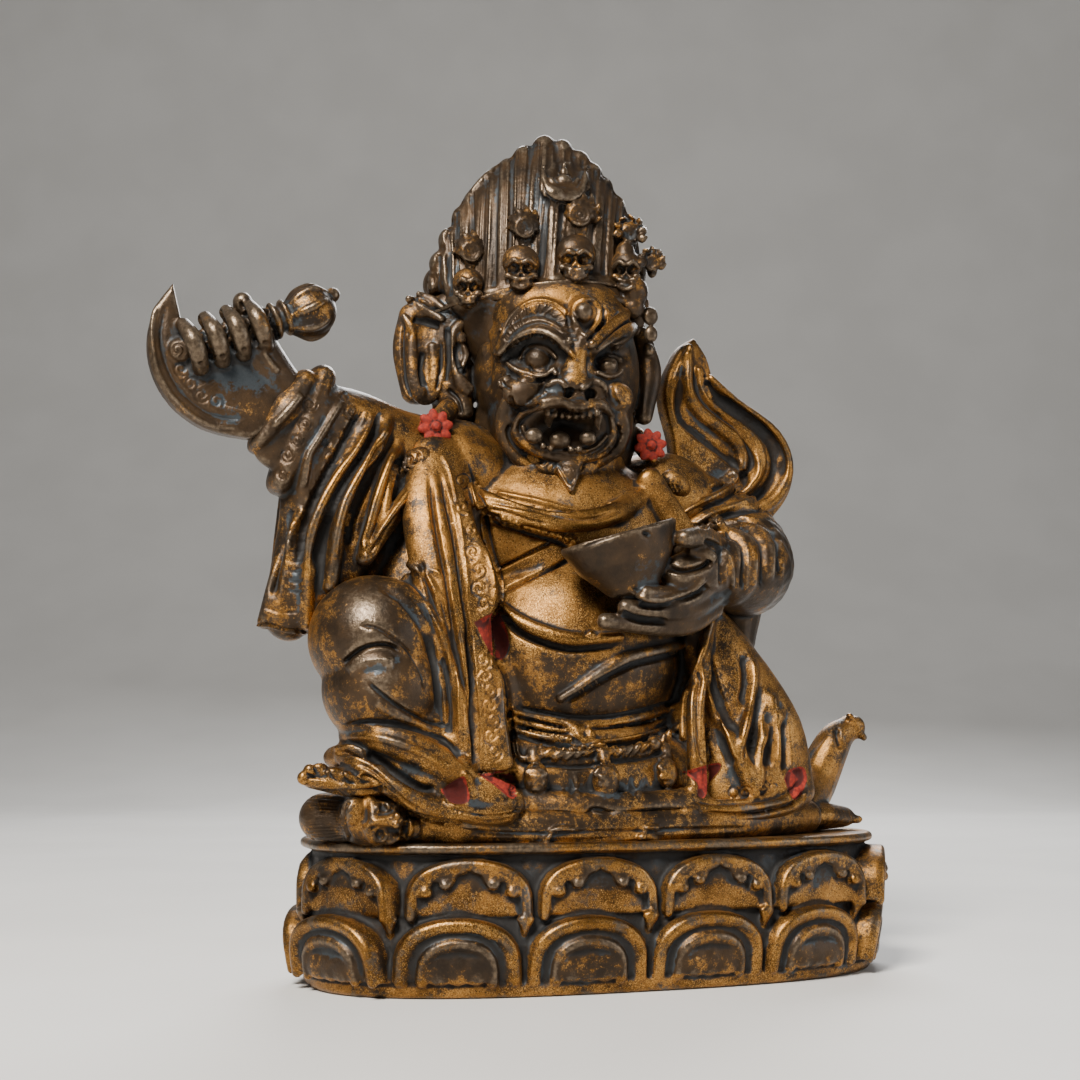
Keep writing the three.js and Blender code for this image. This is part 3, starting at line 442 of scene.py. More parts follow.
    def hem(self, route, width, height, taper=0.08):
        """A cloth edge: a lip on the line's right-hand side and a dark cut beyond it."""
        route = curve(route, 6 * len(route))
        chosen, apart, side, share = self.close_to(route, width)
        ends = ease(np.minimum(share, 1 - share) / taper)
        lip = np.where(side > 0, (1 - apart / width) ** 2, 0)
        cut = np.where(side <= 0, -(1 - (apart / width) ** 2) ** 4, 0)
        self.shift[chosen] += height * (lip + cut) * ends

    def dent(self, u, v, radii, height, turn=0):
        """A round hollow, or a bump with a height above 0, of two radii in mm."""
        a = math.radians(turn)
        off = (self.places - (u, v)) * STEP
        x = off[:, 0] * math.cos(a) + off[:, 1] * math.sin(a)
        y = off[:, 1] * math.cos(a) - off[:, 0] * math.sin(a)
        reach = (x / radii[0]) ** 2 + (y / radii[1]) ** 2
        chosen = self.seen & (reach < 1)
        self.shift[chosen] += height * (1 - reach[chosen]) ** 2

    def area(self, outline, soft):
        """How much each seen vertex lies in an outline of the drawing, 0 to 1."""
        outline = curve(list(outline) + [outline[0]], 6 * len(outline))
        amount = np.zeros(len(self.points))
        low, high = outline.min(0) - soft / STEP, outline.max(0) + soft / STEP
        box = self.seen & (self.places > low).all(1) & (self.places < high).all(1)
        box = np.flatnonzero(box)
        apart = near_line(self.places[box], outline)[0] * STEP
        inside = within(self.places[box], outline)
        amount[box] = ease(np.where(inside, apart, -apart) / soft / 2 + 0.5)
        return amount

    def panel(self, outline, height, soft=0.3):
        """Raises or sinks an area of the drawing."""
        self.shift += height * self.area(outline, soft)

    def paint(self, note, outline, value=1.0, soft=0.3):
        """Notes a finish over an area of the drawing."""
        part = self.area(outline, soft)
        self.notes[note] = self.notes[note] * (1 - part) + value * part

    def scrolls(self, route, radius, depth, count):
        """Engraved scrollwork: spirals that turn to alternate sides of a line."""
        GROOVE, TURNS, POINTS, INNER = 0.24, 2.8 * math.pi, 18, 0.16
        line = curve(route, count)
        run = np.gradient(line, axis=0)
        run /= np.linalg.norm(run, axis=1)[:, None]
        aside = np.stack([-run[:, 1], run[:, 0]], 1)
        for k, (middle, along, across_line) in enumerate(zip(line, run, aside)):
            way = 1 if k % 2 else -1
            turn = np.linspace(0, TURNS, POINTS)
            reach = radius / STEP * np.linspace(1, INNER, POINTS)
            centre = middle + across_line * way * radius / STEP * 0.15
            curl = (
                centre
                + along * (reach * np.cos(turn))[:, None]
                + across_line * (way * reach * np.sin(turn))[:, None]
            )
            chosen, apart, _, _ = self.close_to(curl, GROOVE)
            self.shift[chosen] -= depth * (1 - (apart / GROOVE) ** 2) ** 2

    def struck(self):
        """Moves the skin by what was engraved so far."""
        self.points += self.normals * self.shift[:, None]
        self.mesh.vertices.foreach_set("co", self.points.astype(np.float32).ravel())
        self.mesh.update()
        self.read()

    def blurred(self, values, rounds):
        """Values averaged over their neighbours a number of times."""
        a, b = self.edges[:, 0], self.edges[:, 1]
        count = len(self.points)
        links = np.bincount(a, minlength=count) + np.bincount(b, minlength=count)
        for _ in range(rounds):
            total = np.stack(
                [
                    np.bincount(a, values[b, k], count) + np.bincount(b, values[a, k], count)
                    for k in range(values.shape[1])
                ],
                1,
            )
            values = total / np.maximum(links, 1)[:, None]
        return values

    def cast(self, triangles, material):
        """Notes what stands out, thins the skin to a number of triangles and hands it over."""
        FINE, BROAD = (5, 7), (40, 2.2)
        stands_out = [
            ((self.points - self.blurred(self.points, rounds)) * self.normals).sum(1) * share
            for rounds, share in (FINE, BROAD)
        ]
        self.notes["raised"] = np.clip(stands_out[0] + stands_out[1], -1, 1)
        self.notes["raised"] = self.blurred(self.notes["raised"][:, None], 1)[:, 0]
        for name, values in self.notes.items():
            note = self.mesh.attributes.new(name, "FLOAT", "POINT")
            note.data.foreach_set("value", values.astype(np.float32))
        ratio = min(1.0, triangles / (2 * len(self.mesh.polygons)))
        steps = [("DECIMATE", {"ratio": ratio})] if ratio < 1 else []
        mesh = shaped(self.mesh, self.name + "_skin", *steps)
        crumbs = without_crumbs(mesh)
        mesh.transform(Matrix.Scale(MM, 4) @ Matrix.Translation((0, 0, SEAT)))
        mesh.shade_smooth()
        mesh.name = self.name
        mesh.materials.clear()
        mesh.materials.append(material)
        piece = bpy.data.objects.new(self.name, mesh)
        bpy.context.scene.collection.objects.link(piece)
        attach(piece, "root")
        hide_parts(NODE)
        mesh.calc_loop_triangles()
        print(self.name, len(mesh.loop_triangles), "triangles, thinned to", round(ratio, 2))
        print(self.name, "lost", crumbs, "loose points")


# %% [markdown]
# ## The finish
# Old gilding over brown bronze is patchy: gold stays in flat sheltered places and wears off what
# stands out, and the bared metal there is lighter, partly wear and partly a painted sheen. What
# lies deep is darkened with grime and painted shade. Each of these follows a note on the skin, and
# noise of several sizes breaks their edges up. Shader maths reads best as plain expressions, so a
# small class wraps a socket and turns + - * and the rest into Math nodes.

# %% Shader maths
class Value:
    """One output of a shader node."""

    def __init__(self, finish, socket):
        self.finish, self.socket = finish, socket

    def maths(self, operation, a, b=0.0):
        """A Math node on two values or numbers."""
        return self.finish.add("ShaderNodeMath", {"operation": operation}, {0: a, 1: b})

    def __add__(self, other):
        return self.maths("ADD", self, other)

    __radd__ = __add__

    def __sub__(self, other):
        return self.maths("SUBTRACT", self, other)

    def __rsub__(self, other):
        return self.maths("SUBTRACT", other, self)

    def __mul__(self, other):
        return self.maths("MULTIPLY", self, other)

    __rmul__ = __mul__

    def kept(self, low=0.0, high=1.0, out_low=0.0, out_high=1.0):
        """The value from low to high, spread softly over another range."""
        settings = {"interpolation_type": "SMOOTHSTEP", "clamp": True}
        sockets = {0: self, 1: low, 2: high, 3: out_low, 4: out_high}
        return self.finish.add("ShaderNodeMapRange", settings, sockets)


class Finish:
    """A material's nodes, and the one way in which they are added."""

    def __init__(self, name):
        self.material = bpy.data.materials.new(name)
        self.material.use_nodes = True
        self.tree = self.material.node_tree
        self.tree.nodes.clear()

    def add(self, kind, settings=None, sockets=None, out=0):
        """A node with its settings, and sockets that are linked to values or set to numbers."""
        node = self.tree.nodes.new(kind)
        for key, value in (settings or {}).items():
            setattr(node, key, value)
        for key, value in (sockets or {}).items():
            if isinstance(value, Value):
                self.tree.links.new(value.socket, node.inputs[key])
            else:
                node.inputs[key].default_value = value
        return Value(self, node.outputs[out]) if node.outputs else None

    def noise(self, size, detail=3.0, rough=0.55):
        """Noise whose blots are about so many millimetres across."""
        place = self.add("ShaderNodeTexCoord", out=3)
        sockets = {"Vector": place, "Scale": 1 / MM / size, "Detail": detail, "Roughness": rough}
        return self.add("ShaderNodeTexNoise", {"noise_dimensions": "3D"}, sockets)

    def note(self, name):
        """A note that the skin carries."""
        return self.add("ShaderNodeAttribute", {"attribute_name": name}, out=2)

    def blend(self, amount, first, second):
        """Two colours mixed by an amount."""
        settings = {"data_type": "RGBA", "blend_type": "MIX"}
        return self.add("ShaderNodeMix", settings, {0: amount, 6: first, 7: second}, out=2)


# %% [markdown]
# The metal is mixed from the bottom up, as it aged: brown bronze, lighter where hands have
# rubbed it, partly wear and partly a painted sheen, slate patches, then amber and gold leaf,
# grime and painted shade in what lies deep, and red paint over all, with painted shade in its
# hollows. A picture of old bronze could be wrapped on instead, but it would not follow the carving.

# %% Gilt bronze
DARK_BROWN, BROWN = (0.016, 0.011, 0.007, 1), (0.060, 0.034, 0.015, 1)
# Lighter colours of rubbed metal: bronze worn bare, with a painted sheen.
RUBBED_SHEEN, BRIGHT = (0.070, 0.049, 0.031, 1), (0.145, 0.108, 0.072, 1)
SLATE, PALE_SLATE = (0.036, 0.044, 0.050, 1), (0.115, 0.13, 0.14, 1)
DARK_AMBER, AMBER = (0.075, 0.034, 0.008, 1), (0.26, 0.122, 0.029, 1)
GOLD, PITTED_GOLD = (0.50, 0.275, 0.085, 1), (0.040, 0.022, 0.010, 1)
# Red paint in two tones, and a near-black red for painted shade in its hollows.
DARK_RED, RED, RED_IN_SHADE = (0.12, 0.008, 0.004, 1), (0.27, 0.022, 0.009, 1), (0.035, 0.005, 0.004, 1)
# Near-black for grime and painted shade in what lies deep.
GRIME_AND_SHADE = (0.007, 0.0055, 0.0045, 1)


def gilt_bronze():
    """The one finish of the casting, steered by the notes on the skin."""
    metal = Finish("gilt_bronze")
    raised, gilt = metal.note("raised"), metal.note("gilt")
    red, soot_and_shade, rub_and_sheen = metal.note("red"), metal.note("soot_and_shade"), metal.note("rub_and_sheen")
    grain = metal.noise(0.13, 2.0)
    fleck = metal.noise(0.2, 2.0, 0.6)
    speck = metal.noise(0.45, 3.0, 0.6)
    blot = metal.noise(2.6, 5.0, 0.62)
    cloud = metal.noise(9.0, 3.0)

    # What stands out and what is noted as rubbed turns lighter: partly wear, partly a painted sheen.
    wear_and_sheen = (raised * 0.9 + rub_and_sheen * 0.8 + (speck - 0.5) * 0.5).kept(0.42, 1.0)
    # What lies deep, and the places noted for grime and shade, are darkened: grime and painted shade.
    deep = ((0.0 - raised) * 1.2 + soot_and_shade * 0.8 + (blot - 0.5) * 0.5).kept(0.35, 0.95)
    patch = metal.noise(5.5, 4.0, 0.6)
    bloom = ((patch - 0.5) * 2.0 + (speck - 0.5) * 0.8 + (0.0 - raised) * 0.5).kept(0.16, 0.42)
    left = gilt + (blot - 0.5) * 1.5 + (speck - 0.5) * 0.9 + (fleck - 0.5) * 0.4 - rub_and_sheen * 0.5 - soot_and_shade * 0.5
    left = (left - bloom * 0.2).kept(0.36, 0.68)
    blue = ((cloud - 0.5) * 1.2 + bloom * 0.5 + gilt * 0.4 - soot_and_shade * 0.4).kept(0.3, 0.65)

    brown = metal.blend((blot * 0.6 + cloud * 0.5).kept(0.35, 0.75), DARK_BROWN, BROWN)
    polish_and_sheen = metal.blend(speck.kept(0.3, 0.7), RUBBED_SHEEN, BRIGHT)
    bare = metal.blend(wear_and_sheen, brown, polish_and_sheen)
    slate = metal.blend(wear_and_sheen, SLATE, PALE_SLATE)
    bare = metal.blend(blue * 0.85, bare, slate)
    amber = metal.blend((blot * 0.5 + cloud * 0.5).kept(0.40, 0.62), DARK_AMBER, AMBER)
    gold = metal.blend((grain * 0.7 + patch * 0.3).kept(0.46, 0.68), amber, GOLD)
    gold = metal.blend(fleck.kept(0.30, 0.46), PITTED_GOLD, gold)
    colour = metal.blend(left, bare, gold)
    colour = metal.blend(bloom * 0.7, colour, slate)
    # Grime and painted shade darken what lies deep.
    colour = metal.blend(deep * 0.92, colour, GRIME_AND_SHADE)
    paint = metal.blend(speck.kept(0.35, 0.7), DARK_RED, RED)
    # The red is darker in its hollows: painted shade.
    paint = metal.blend(((0.0 - raised) * 1.3).kept(0.05, 0.5) * 0.9, paint, RED_IN_SHADE)
    painted = (red + (speck - 0.5) * 0.35).kept(0.45, 0.6)
    colour = metal.blend(painted, colour, paint)

    rough = 0.40 - wear_and_sheen * 0.10 + left * 0.08 + deep * 0.28 + (speck - 0.5) * 0.2
    rough = rough + painted * 0.35
    metallic = (0.55 + wear_and_sheen * 0.2 + left * 0.35 - deep * 0.4) * (1 - painted)
    height = grain * 0.35 + speck * 0.7 + blot * 0.9
    bump = metal.add(
        "ShaderNodeBump", {}, {"Strength": 0.55, "Distance": 0.00011, "Height": height}
    )
    shader = metal.add(
        "ShaderNodeBsdfPrincipled",
        {},
        {
            "Base Color": colour,
            "Roughness": rough,
            "Metallic": metallic,
            "Normal": bump,
            "IOR": 1.38,
            "Coat Weight": 0.0,
        },
    )
    metal.add("ShaderNodeOutputMaterial", {}, {"Surface": shader})
    return metal.material


GILT_BRONZE = gilt_bronze()
print("finish ready:", GILT_BRONZE.name, len(GILT_BRONZE.node_tree.nodes), "nodes")

# %% [markdown]
# ## The double lotus base
# The base is a rounded oblong with a thin foot rim, a row of full petals, a row of leafy petals
# and a thin ledge. Its plain core is a circle drawn out through tiers to the plan of the base.
# Each petal is wax on that core: an arch plate, a rim and an inner arch below, and a rim with
# curled leaf lobes above. They are placed by walking round the plan in twelve equal paces,
# because equal angles would crowd them at the narrow ends.

# %% The plan of the base
BASE_WIDTH, BASE_DEPTH, SQUARENESS = 72.0, 34.0, 2.6
RIM, LOWER_ROW, UPPER_ROW = 2.0, 7.0, 6.3
PETALS = 12


def plan(angle, grow=0.0):
    """A point of the base's plan at an angle, grown outwards."""
    power = 2 / SQUARENESS
    x = math.copysign(abs(math.cos(angle)) ** power, math.cos(angle))
    y = math.copysign(abs(math.sin(angle)) ** power, math.sin(angle))
    return Vector(((BASE_WIDTH / 2 + grow) * x, (BASE_DEPTH / 2 + grow) * y, 0))


def paces(count, shift=0.5):
    """Evenly spaced points round the plan with their outward directions."""
    FINE = 1440
    ring = [plan(-math.pi / 2 + 2 * math.pi * i / FINE) for i in range(FINE)]
    lengths = np.cumsum([0] + [(ring[i] - ring[i - 1]).length for i in range(1, FINE)])
    whole = lengths[-1] + (ring[0] - ring[-1]).length
    found = []
    for k in range(count):
        i = int(np.searchsorted(lengths, (k + shift) % count * whole / count)) % FINE
        run = (ring[(i + 16) % FINE] - ring[i - 16]).normalized()
        found.append((ring[i], Vector((run.y, -run.x, 0))))
    return found, whole / count


def base_core(piece):
    """The plain body: a circle drawn up through the tiers, then moved to the plan."""
    low, top = -SEAT + RIM, -SEAT + RIM + LOWER_ROW
    tiers = [
        (-SEAT, -0.5), (-SEAT + 0.5, 0), (low - 0.5, 0), (low, -0.8), (low + 3.8, 0.2),
        (top, -0.5), (top + 3.1, -0.6), (top + UPPER_ROW, -0.9), (top + UPPER_ROW + 0.3, -0.8),
        (top + UPPER_ROW + 0.6, 0.3), (-0.9, 0.6), (-0.3, 0.6), (0, 0.2),
    ]
    SIDES = 160
    form = bmesh.new()
    ring = bmesh.ops.create_circle(form, cap_ends=True, segments=SIDES, radius=1)["verts"]
    angles = [math.atan2(v.co.y, v.co.x) for v in ring]
    rings = [ring]
    edges = list({e for v in ring for e in v.link_edges})
    for _ in tiers[1:]:
        grown = bmesh.ops.extrude_edge_only(form, edges=edges)["geom"]
        edges = [g for g in grown if isinstance(g, bmesh.types.BMEdge)]
        fresh = {g for g in grown if isinstance(g, bmesh.types.BMVert)}
        last = rings[-1]
        rings.append([next(e.other_vert(v) for e in v.link_edges if e.other_vert(v) in fresh) for v in last])
    for verts, (height, grow) in zip(rings, tiers):
        for v, angle in zip(verts, angles):
            v.co = plan(angle, grow) + Vector((0, 0, height))
    bmesh.ops.contextual_create(form, geom=edges)
    piece.keep(form)


def arch(width, height, count=17):
    """Half of a petal's outline and back: [across, up] pairs from foot to foot."""
    turn = np.linspace(0, math.pi, count)
    x = -np.cos(turn) * width / 2
    z = height * np.sin(turn) ** 0.55
    return list(zip(x, z))


# %% [markdown]
# A petal could be one carved shape copied round, but the base bends and the petals bend with
# it, so each is laid afresh at its own place. Full petals stand below and leafy ones above,
# moved a little to the figure's left as on the real base.

# %% Petals
LOWER_SWELL, UPPER_SWELL, UPPER_SHIFT = 1.6, 0.3, 1.3


def petal_place(point, outward, low, out, lean):
    """A matrix that stands a form on the base's side: its own -Y faces outwards."""
    aside = Vector((-outward.y, outward.x, 0))
    rise = Vector((0, 0, 1)) + outward * lean
    spot = point + outward * out + Vector((0, 0, low))
    place = Matrix((aside, -outward, rise)).transposed().to_4x4()
    place.translation = spot
    return place


def lower_petal(piece, point, outward, width):
    """A full petal: an arch plate, a rolled rim, and a smaller swelling arch on it."""
    low = -SEAT + RIM - 0.2
    place = petal_place(point, outward, low, -4.3, LOWER_SWELL / LOWER_ROW)
    piece.slab(arch(width * 0.97, LOWER_ROW + 0.15), 4.2, place, 0.6, smooth=False)
    rim = [place @ Vector((x, -4.15, z)) for x, z in arch(width * 0.85, LOWER_ROW - 0.65)]
    piece.limb(rim, 0.72, 0.5, face=outward)
    piece.slab(arch(width * 0.62, LOWER_ROW - 2.1), 4.6, place, 0.6, smooth=False)
    inner = [place @ Vector((x, -4.5, z)) for x, z in arch(width * 0.53, LOWER_ROW - 2.7)]
    piece.limb(inner, 0.62, 0.5, face=outward)
    for x in (-0.13, 0, 0.13):
        piece.ball(place @ Vector((x * width, -4.3, 1.7)), (2.2, 0.8, 1.9), turned(outward))
    return place


def turned(outward):
    """The turn about the upright, in degrees, that faces a form outwards."""
    return (0, 0, math.degrees(math.atan2(outward.x, -outward.y)))


def upper_petal(piece, point, outward, width):
    """An arch with a soft rim, and under it a canopy of leaf lobes with curled ends."""
    low = -SEAT + RIM + LOWER_ROW - 0.1
    place = petal_place(point, outward, low, -3.6, UPPER_SWELL / UPPER_ROW)
    piece.slab(arch(width * 0.97, UPPER_ROW + 0.1), 3.7, place, 0.4, smooth=False)
    rim = [place @ Vector((x, -3.75, z)) for x, z in arch(width * 0.87, UPPER_ROW - 0.5)]
    piece.limb(rim, 0.62, 0.6, face=outward)
    half = [
        (0.03, 0.77), (0.09, 0.72), (0.115, 0.60), (0.165, 0.50), (0.215, 0.52), (0.235, 0.62), (0.275, 0.60),
        (0.285, 0.46), (0.325, 0.36), (0.375, 0.38), (0.40, 0.55), (0.37, 0.76), (0.27, 0.88), (0.12, 0.93),
    ]
    outline = [(x * width, z * UPPER_ROW) for x, z in half]
    outline = [(0, 0.84 * UPPER_ROW)] + outline + [(0, 0.95 * UPPER_ROW)] + [(-x, z) for x, z in outline[::-1]]
    piece.slab(outline, 4.35, place, 0.25)
    for way in (-1, 1):
        for x, z, size in ((0.325, 0.44, 0.8), (0.18, 0.57, 0.75)):
            spot = place @ Vector((way * x * width, -4.3, z * UPPER_ROW))
            piece.ball(spot, (size, 0.5, size * 0.8), turned(outward))
    return place


def joint_leaf(piece, point, outward):
    """The small pointed leaf that shows between two lower petals."""
    low = -SEAT + RIM + LOWER_ROW
    spot = point + outward * 0.2
    piece.limb([spot + Vector((0, 0, low - 2.0)), spot + outward * 0.6 + Vector((0, 0, low - 0.3))],
               [0.3, 1.1], [0.3, 0.6], face=outward)


def gilded(piece, place, width, height, field, edge, crown):
    """Notes how much gold a petal has on its field, near its edge and in its upper part."""
    back = np.array(place.inverted())
    local = piece.points @ back[:3, :3].T + back[:3, 3]
    x, z = np.abs(local[:, 0]) / width, local[:, 2] / height
    mine = (x < 0.5) & (z > 0) & (z < 1.02) & (local[:, 1] < -3)
    reach = np.hypot(x / 0.5, np.maximum(z, 0))
    amount = field + (edge - field) * ease((reach - 0.66) / 0.16)
    amount = np.where(z > 0.5, amount + (crown - amount) * ease((0.86 - reach) / 0.1), amount)
    piece.notes["gilt"][mine] = amount[mine]


base = Casting("lotus_base")
base_core(base)
petals, pace = paces(PETALS)
shift = Vector((UPPER_SHIFT, 0, 0))
lower = [lower_petal(base, point, outward, pace) for point, outward in petals]
upper = [upper_petal(base, point + shift, outward, pace) for point, outward in petals]
for point, outward in paces(PETALS, 0.0)[0]:
    joint_leaf(base, point, outward)
print("petals", len(petals), "each", round(pace, 2), "mm wide")
base.skin(0.24, 5)
base.notes["gilt"][:] = 0.5
for place in lower:
    gilded(base, place, pace, LOWER_ROW, 0.34, 0.62, 0.4)
for place in upper:
    gilded(base, place, pace, UPPER_ROW, 0.78, 0.55, 0.32)
base.notes["gilt"][base.points[:, 2] < RIM - SEAT] = 0.66
base.cast(150_000, GILT_BRONZE)

# %% [markdown]
# ## The fallen body
# The figure tramples a small body that lies along the front of the base: its head with combed
# hair on the left, its trunk as a long roll, its hands in front, and its feet on the right,
# one flat and one bent up. It goes first because everything else sits on it. The face turns up
# and aside, so its eyes are sunk into a first skin and its lids and lips laid on after.

# %% The fallen body
fallen = Casting("fallen_body")
fallen.limb([(-27, -11, 2), (-15, -14, 1.7), (0, -14.6, 1.6), (15, -12.8, 1.8), (25, -8, 2)], 2.2, 2.3)
fallen.ball((-30.6, -9.8, 2.7), (4.6, 4.6, 3.2), sides=28)
fallen.limb([(-31, -7.6, 2.8), (-35.6, -6.2, 2.7)], [4.2, 3.6], [3.3, 2.8], face=(0, 0, 1), sides=20)
fallen.limb(
    [(26, -3, 2.4), (31.4, 1.4, 5.4), (35, 2, 11), (37.4, 2, 13.2)],
    [4, 3.6, 3, 1.8], [3.4, 3, 2.4, 1.6], face=(0.6, -0.6, -0.5),
)
fallen.limb([(24, -5, 1.8), (29.5, -4, 1.8), (33.4, -2.6, 1.6)], [3, 2.8, 2], [2, 1.8, 1.4], face=(0, 0, 1))
fallen.ball((38.0, 1.3, 13.2), (1.4, 1.3, 1.6))
for k in range(4):
    fallen.ball((36.8 + 0.65 * k, 0.5, 14.6 - 0.9 * k), (0.65, 0.6, 0.5), (0, 50, 0), sides=14)
for k in range(5):
    fallen.ball((34.8 - 0.2 * k, -4.1 + 0.85 * k, 1.3), (0.95, 0.45, 0.6), sides=14)
fallen.ball((-20.6, -15, 2.2), (1.6, 0.9, 1.1))
fallen.ball((-3, -15.6, 2.9), (1.7, 1.2, 1))
fallen.ball((6, -15, 3), (1.8, 1.2, 1))
fallen.settle()
fallen.press(354, 811, (1.5, 0.9, 1.6), 0.25)
fallen.roll([(367, 797), (372, 804), (373, 816), (370, 824)], [0.5, 0.6, 0.55, 0.4], 0.6, 0.35)
fallen.roll([(366, 828), (371, 838), (379, 845)], [0.4, 0.5, 0.4], 0.5, 0.3)
fallen.roll([(374, 821), (385, 821), (395, 820)], [0.5, 0.6, 0.95], 0.8, 0.45)
fallen.press(389, 838, (1.1, 0.7, 0.8), 0.3)
fallen.press(392, 806, (0.9, 0.6, 0.8), 0.25)
fallen.press(414, 828, (0.9, 0.7, 1.1), 0.3)
fallen.skin(0.2, 5)
fallen.rest()
fallen.dent(383, 808, (0.85, 0.6), -0.45)
fallen.dent(380, 834, (0.95, 0.9), -0.5)
fallen.dent(405, 828, (0.8, 1.4), -0.5)
fallen.struck()
fallen.again()
fallen.press(383, 808, (0.6, 0.5, 0.45), 0.1)
fallen.press(380, 834, (0.55, 0.5, 0.55), 0.15)
for u, v, wide, high in [(383, 808, 6, 5), (380, 834, 6.5, 7)]:
    fallen.roll(circle(u, v, wide, high), 0.24, 0.3, 0.15, closed=True)
fallen.press(397, 816, 0.42, 0.35)
fallen.press(396, 825, 0.42, 0.35)
fallen.roll([(401, 819), (400, 829), (398, 838)], [0.25, 0.36, 0.25], 0.4, 0.2)
fallen.roll([(410, 820), (411, 829), (408, 838)], [0.25, 0.36, 0.25], 0.4, 0.2)
for k in range(5):
    fallen.press(405.5 - 0.5 * abs(k - 2), 822 + 3.3 * k, (0.34, 0.35, 0.2), 0.15)
fallen.roll([(545, 842), (552, 832), (564, 829), (574, 831)], 0.4, 0.4, 0.2)
fallen.roll([(640, 838), (647, 829), (657, 829)], 0.4, 0.4, 0.2)
fallen.skin(0.17, 1)
for k in range(14):
    high = 798 + k * 3.4
    fallen.carve([(347, 801 + k * 2.9), (330, high), (303, high + (k - 7) * 0.25)], 0.24, -0.22, 0.15)
fallen.carve([(349, 800), (344, 812), (345, 828), (352, 842)], 0.4, -0.4, 0.1)
for k in range(4):
    fallen.carve([(402, 823 + 3.3 * k), (409, 823.5 + 3.3 * k)], 0.14, -0.2, 0)
fallen.carve([(479, 846), (587, 843), (641, 837), (661, 841)], 0.5, 0.3, 0.1)
fallen.carve([(420, 828), (520, 834), (640, 831), (760, 828)], 0.5, -0.25, 0.1)
fallen.carve([(836, 726), (838, 738), (842, 750)], 0.6, -0.6, 0.2)
fallen.carve([(826, 732), (812, 748), (804, 764)], 0.7, -0.3)
fallen.struck()
fallen.notes["gilt"][:] = 0.5
fallen.paint("gilt", [(345, 800), (365, 800), (366, 822), (346, 822)], 0.75, 0.8)
fallen.paint("gilt", [(296, 796), (346, 800), (344, 842), (298, 842)], 0.3, 0.8)
fallen.paint("gilt", [(790, 735), (830, 715), (860, 730), (830, 800), (870, 835), (800, 830)], 0.62, 1)
fallen.cast(50_000, GILT_BRONZE)

# %% [markdown]
# ## The robed body
# One broad roll makes the trunk, balls make belly, chest, shoulders and knees, and long rolls
# make the robe's folds, borders, belt and cords. The broad forms are set in millimetres. What
# lies on top of them is laid down along the lines of the drawing.

# %% Trunk, legs and lap
body = Casting("robed_body")
body.limb(
    [(-4.5, 2.5, 44), (-4.5, 3, 32), (-4.5, 2.5, 17), (-4.5, 2, 4)],
    [12, 16.5, 19, 21.5], [6.6, 9, 10.4, 11.6], sides=32,
)
for i in range(-3, 4):
    body.limb(
        [
            (-5 + i * 3, 9, 42 - abs(i)),
            (-4.5 + i * 4.4, 12.2 - abs(i) * 0.9, 26),
            (-4.5 + i * 6.2, 14 - i * i * 0.55, 2),
        ],
        [0.9, 1.3, 1.8], [1, 1.3, 1.6],
    )
body.ball((-4.5, -2, 22), (14.5, 12.3, 13.5), sides=40)
body.ball((-4.5, 0, 37), (15.5, 10.5, 11), sides=32)
body.ball((-5, 0, 46), (9, 8, 6))
body.ball((-18.5, 1, 44.5), (7.5, 7.5, 6.5))
body.ball((9.5, 1.5, 42.5), (8, 7.5, 6.5))
body.limb([(-12, 1, 14), (-22, -4, 20), (-29.5, -7, 23)], [10, 9, 7.4], sides=24)
body.ball((-30.6, -8.4, 23.2), (7.5, 8, 7.3), sides=32)
body.ball((-29.6, -9.4, 17.4), (7, 7.4, 6.8), sides=32)
body.limb([(-28.4, -8.4, 16), (-26, -9.6, 9), (-21.2, -10, 3)], [5.6, 5.8, 5.2], [6, 6, 5.6], sides=24)
body.limb([(-27, -9.5, 6.8), (-33, -12, 6.8), (-38, -11.4, 7.4)], [2.4, 2.6, 2], [2, 1.8, 1.3], face=(0, 0, 1))
body.ball((-19.4, -16.2, 5.4), (3.4, 1.2, 2.1))
body.limb([(-32.8, -8, 12.2), (-31.4, -13.4, 12.2), (-28.2, -15.4, 10.9), (-21.8, -16, 7.6)], 1.9, 1.6)
body.limb(
    [(-34.4, -7, 9.6), (-33.6, -11.8, 9.7), (-30.8, -14.6, 7.2), (-26.3, -16, 4.4), (-22, -16.2, 3.4), (-17, -16, 3.2)],
    1.3, 1.6,
)
for i in range(4):
    body.ball((-38.2 + i * 1.1, -11.9 - i * 0.5, 8 - i * 0.5), (1.0, 1.15, 0.62), sides=14)
body.limb([(12, -2, 27), (14.5, -4, 19), (15.5, -5, 10), (15.5, -5, 4)], [4.6, 7.2, 9, 9.6], [4, 6.6, 8, 8.4], sides=24)
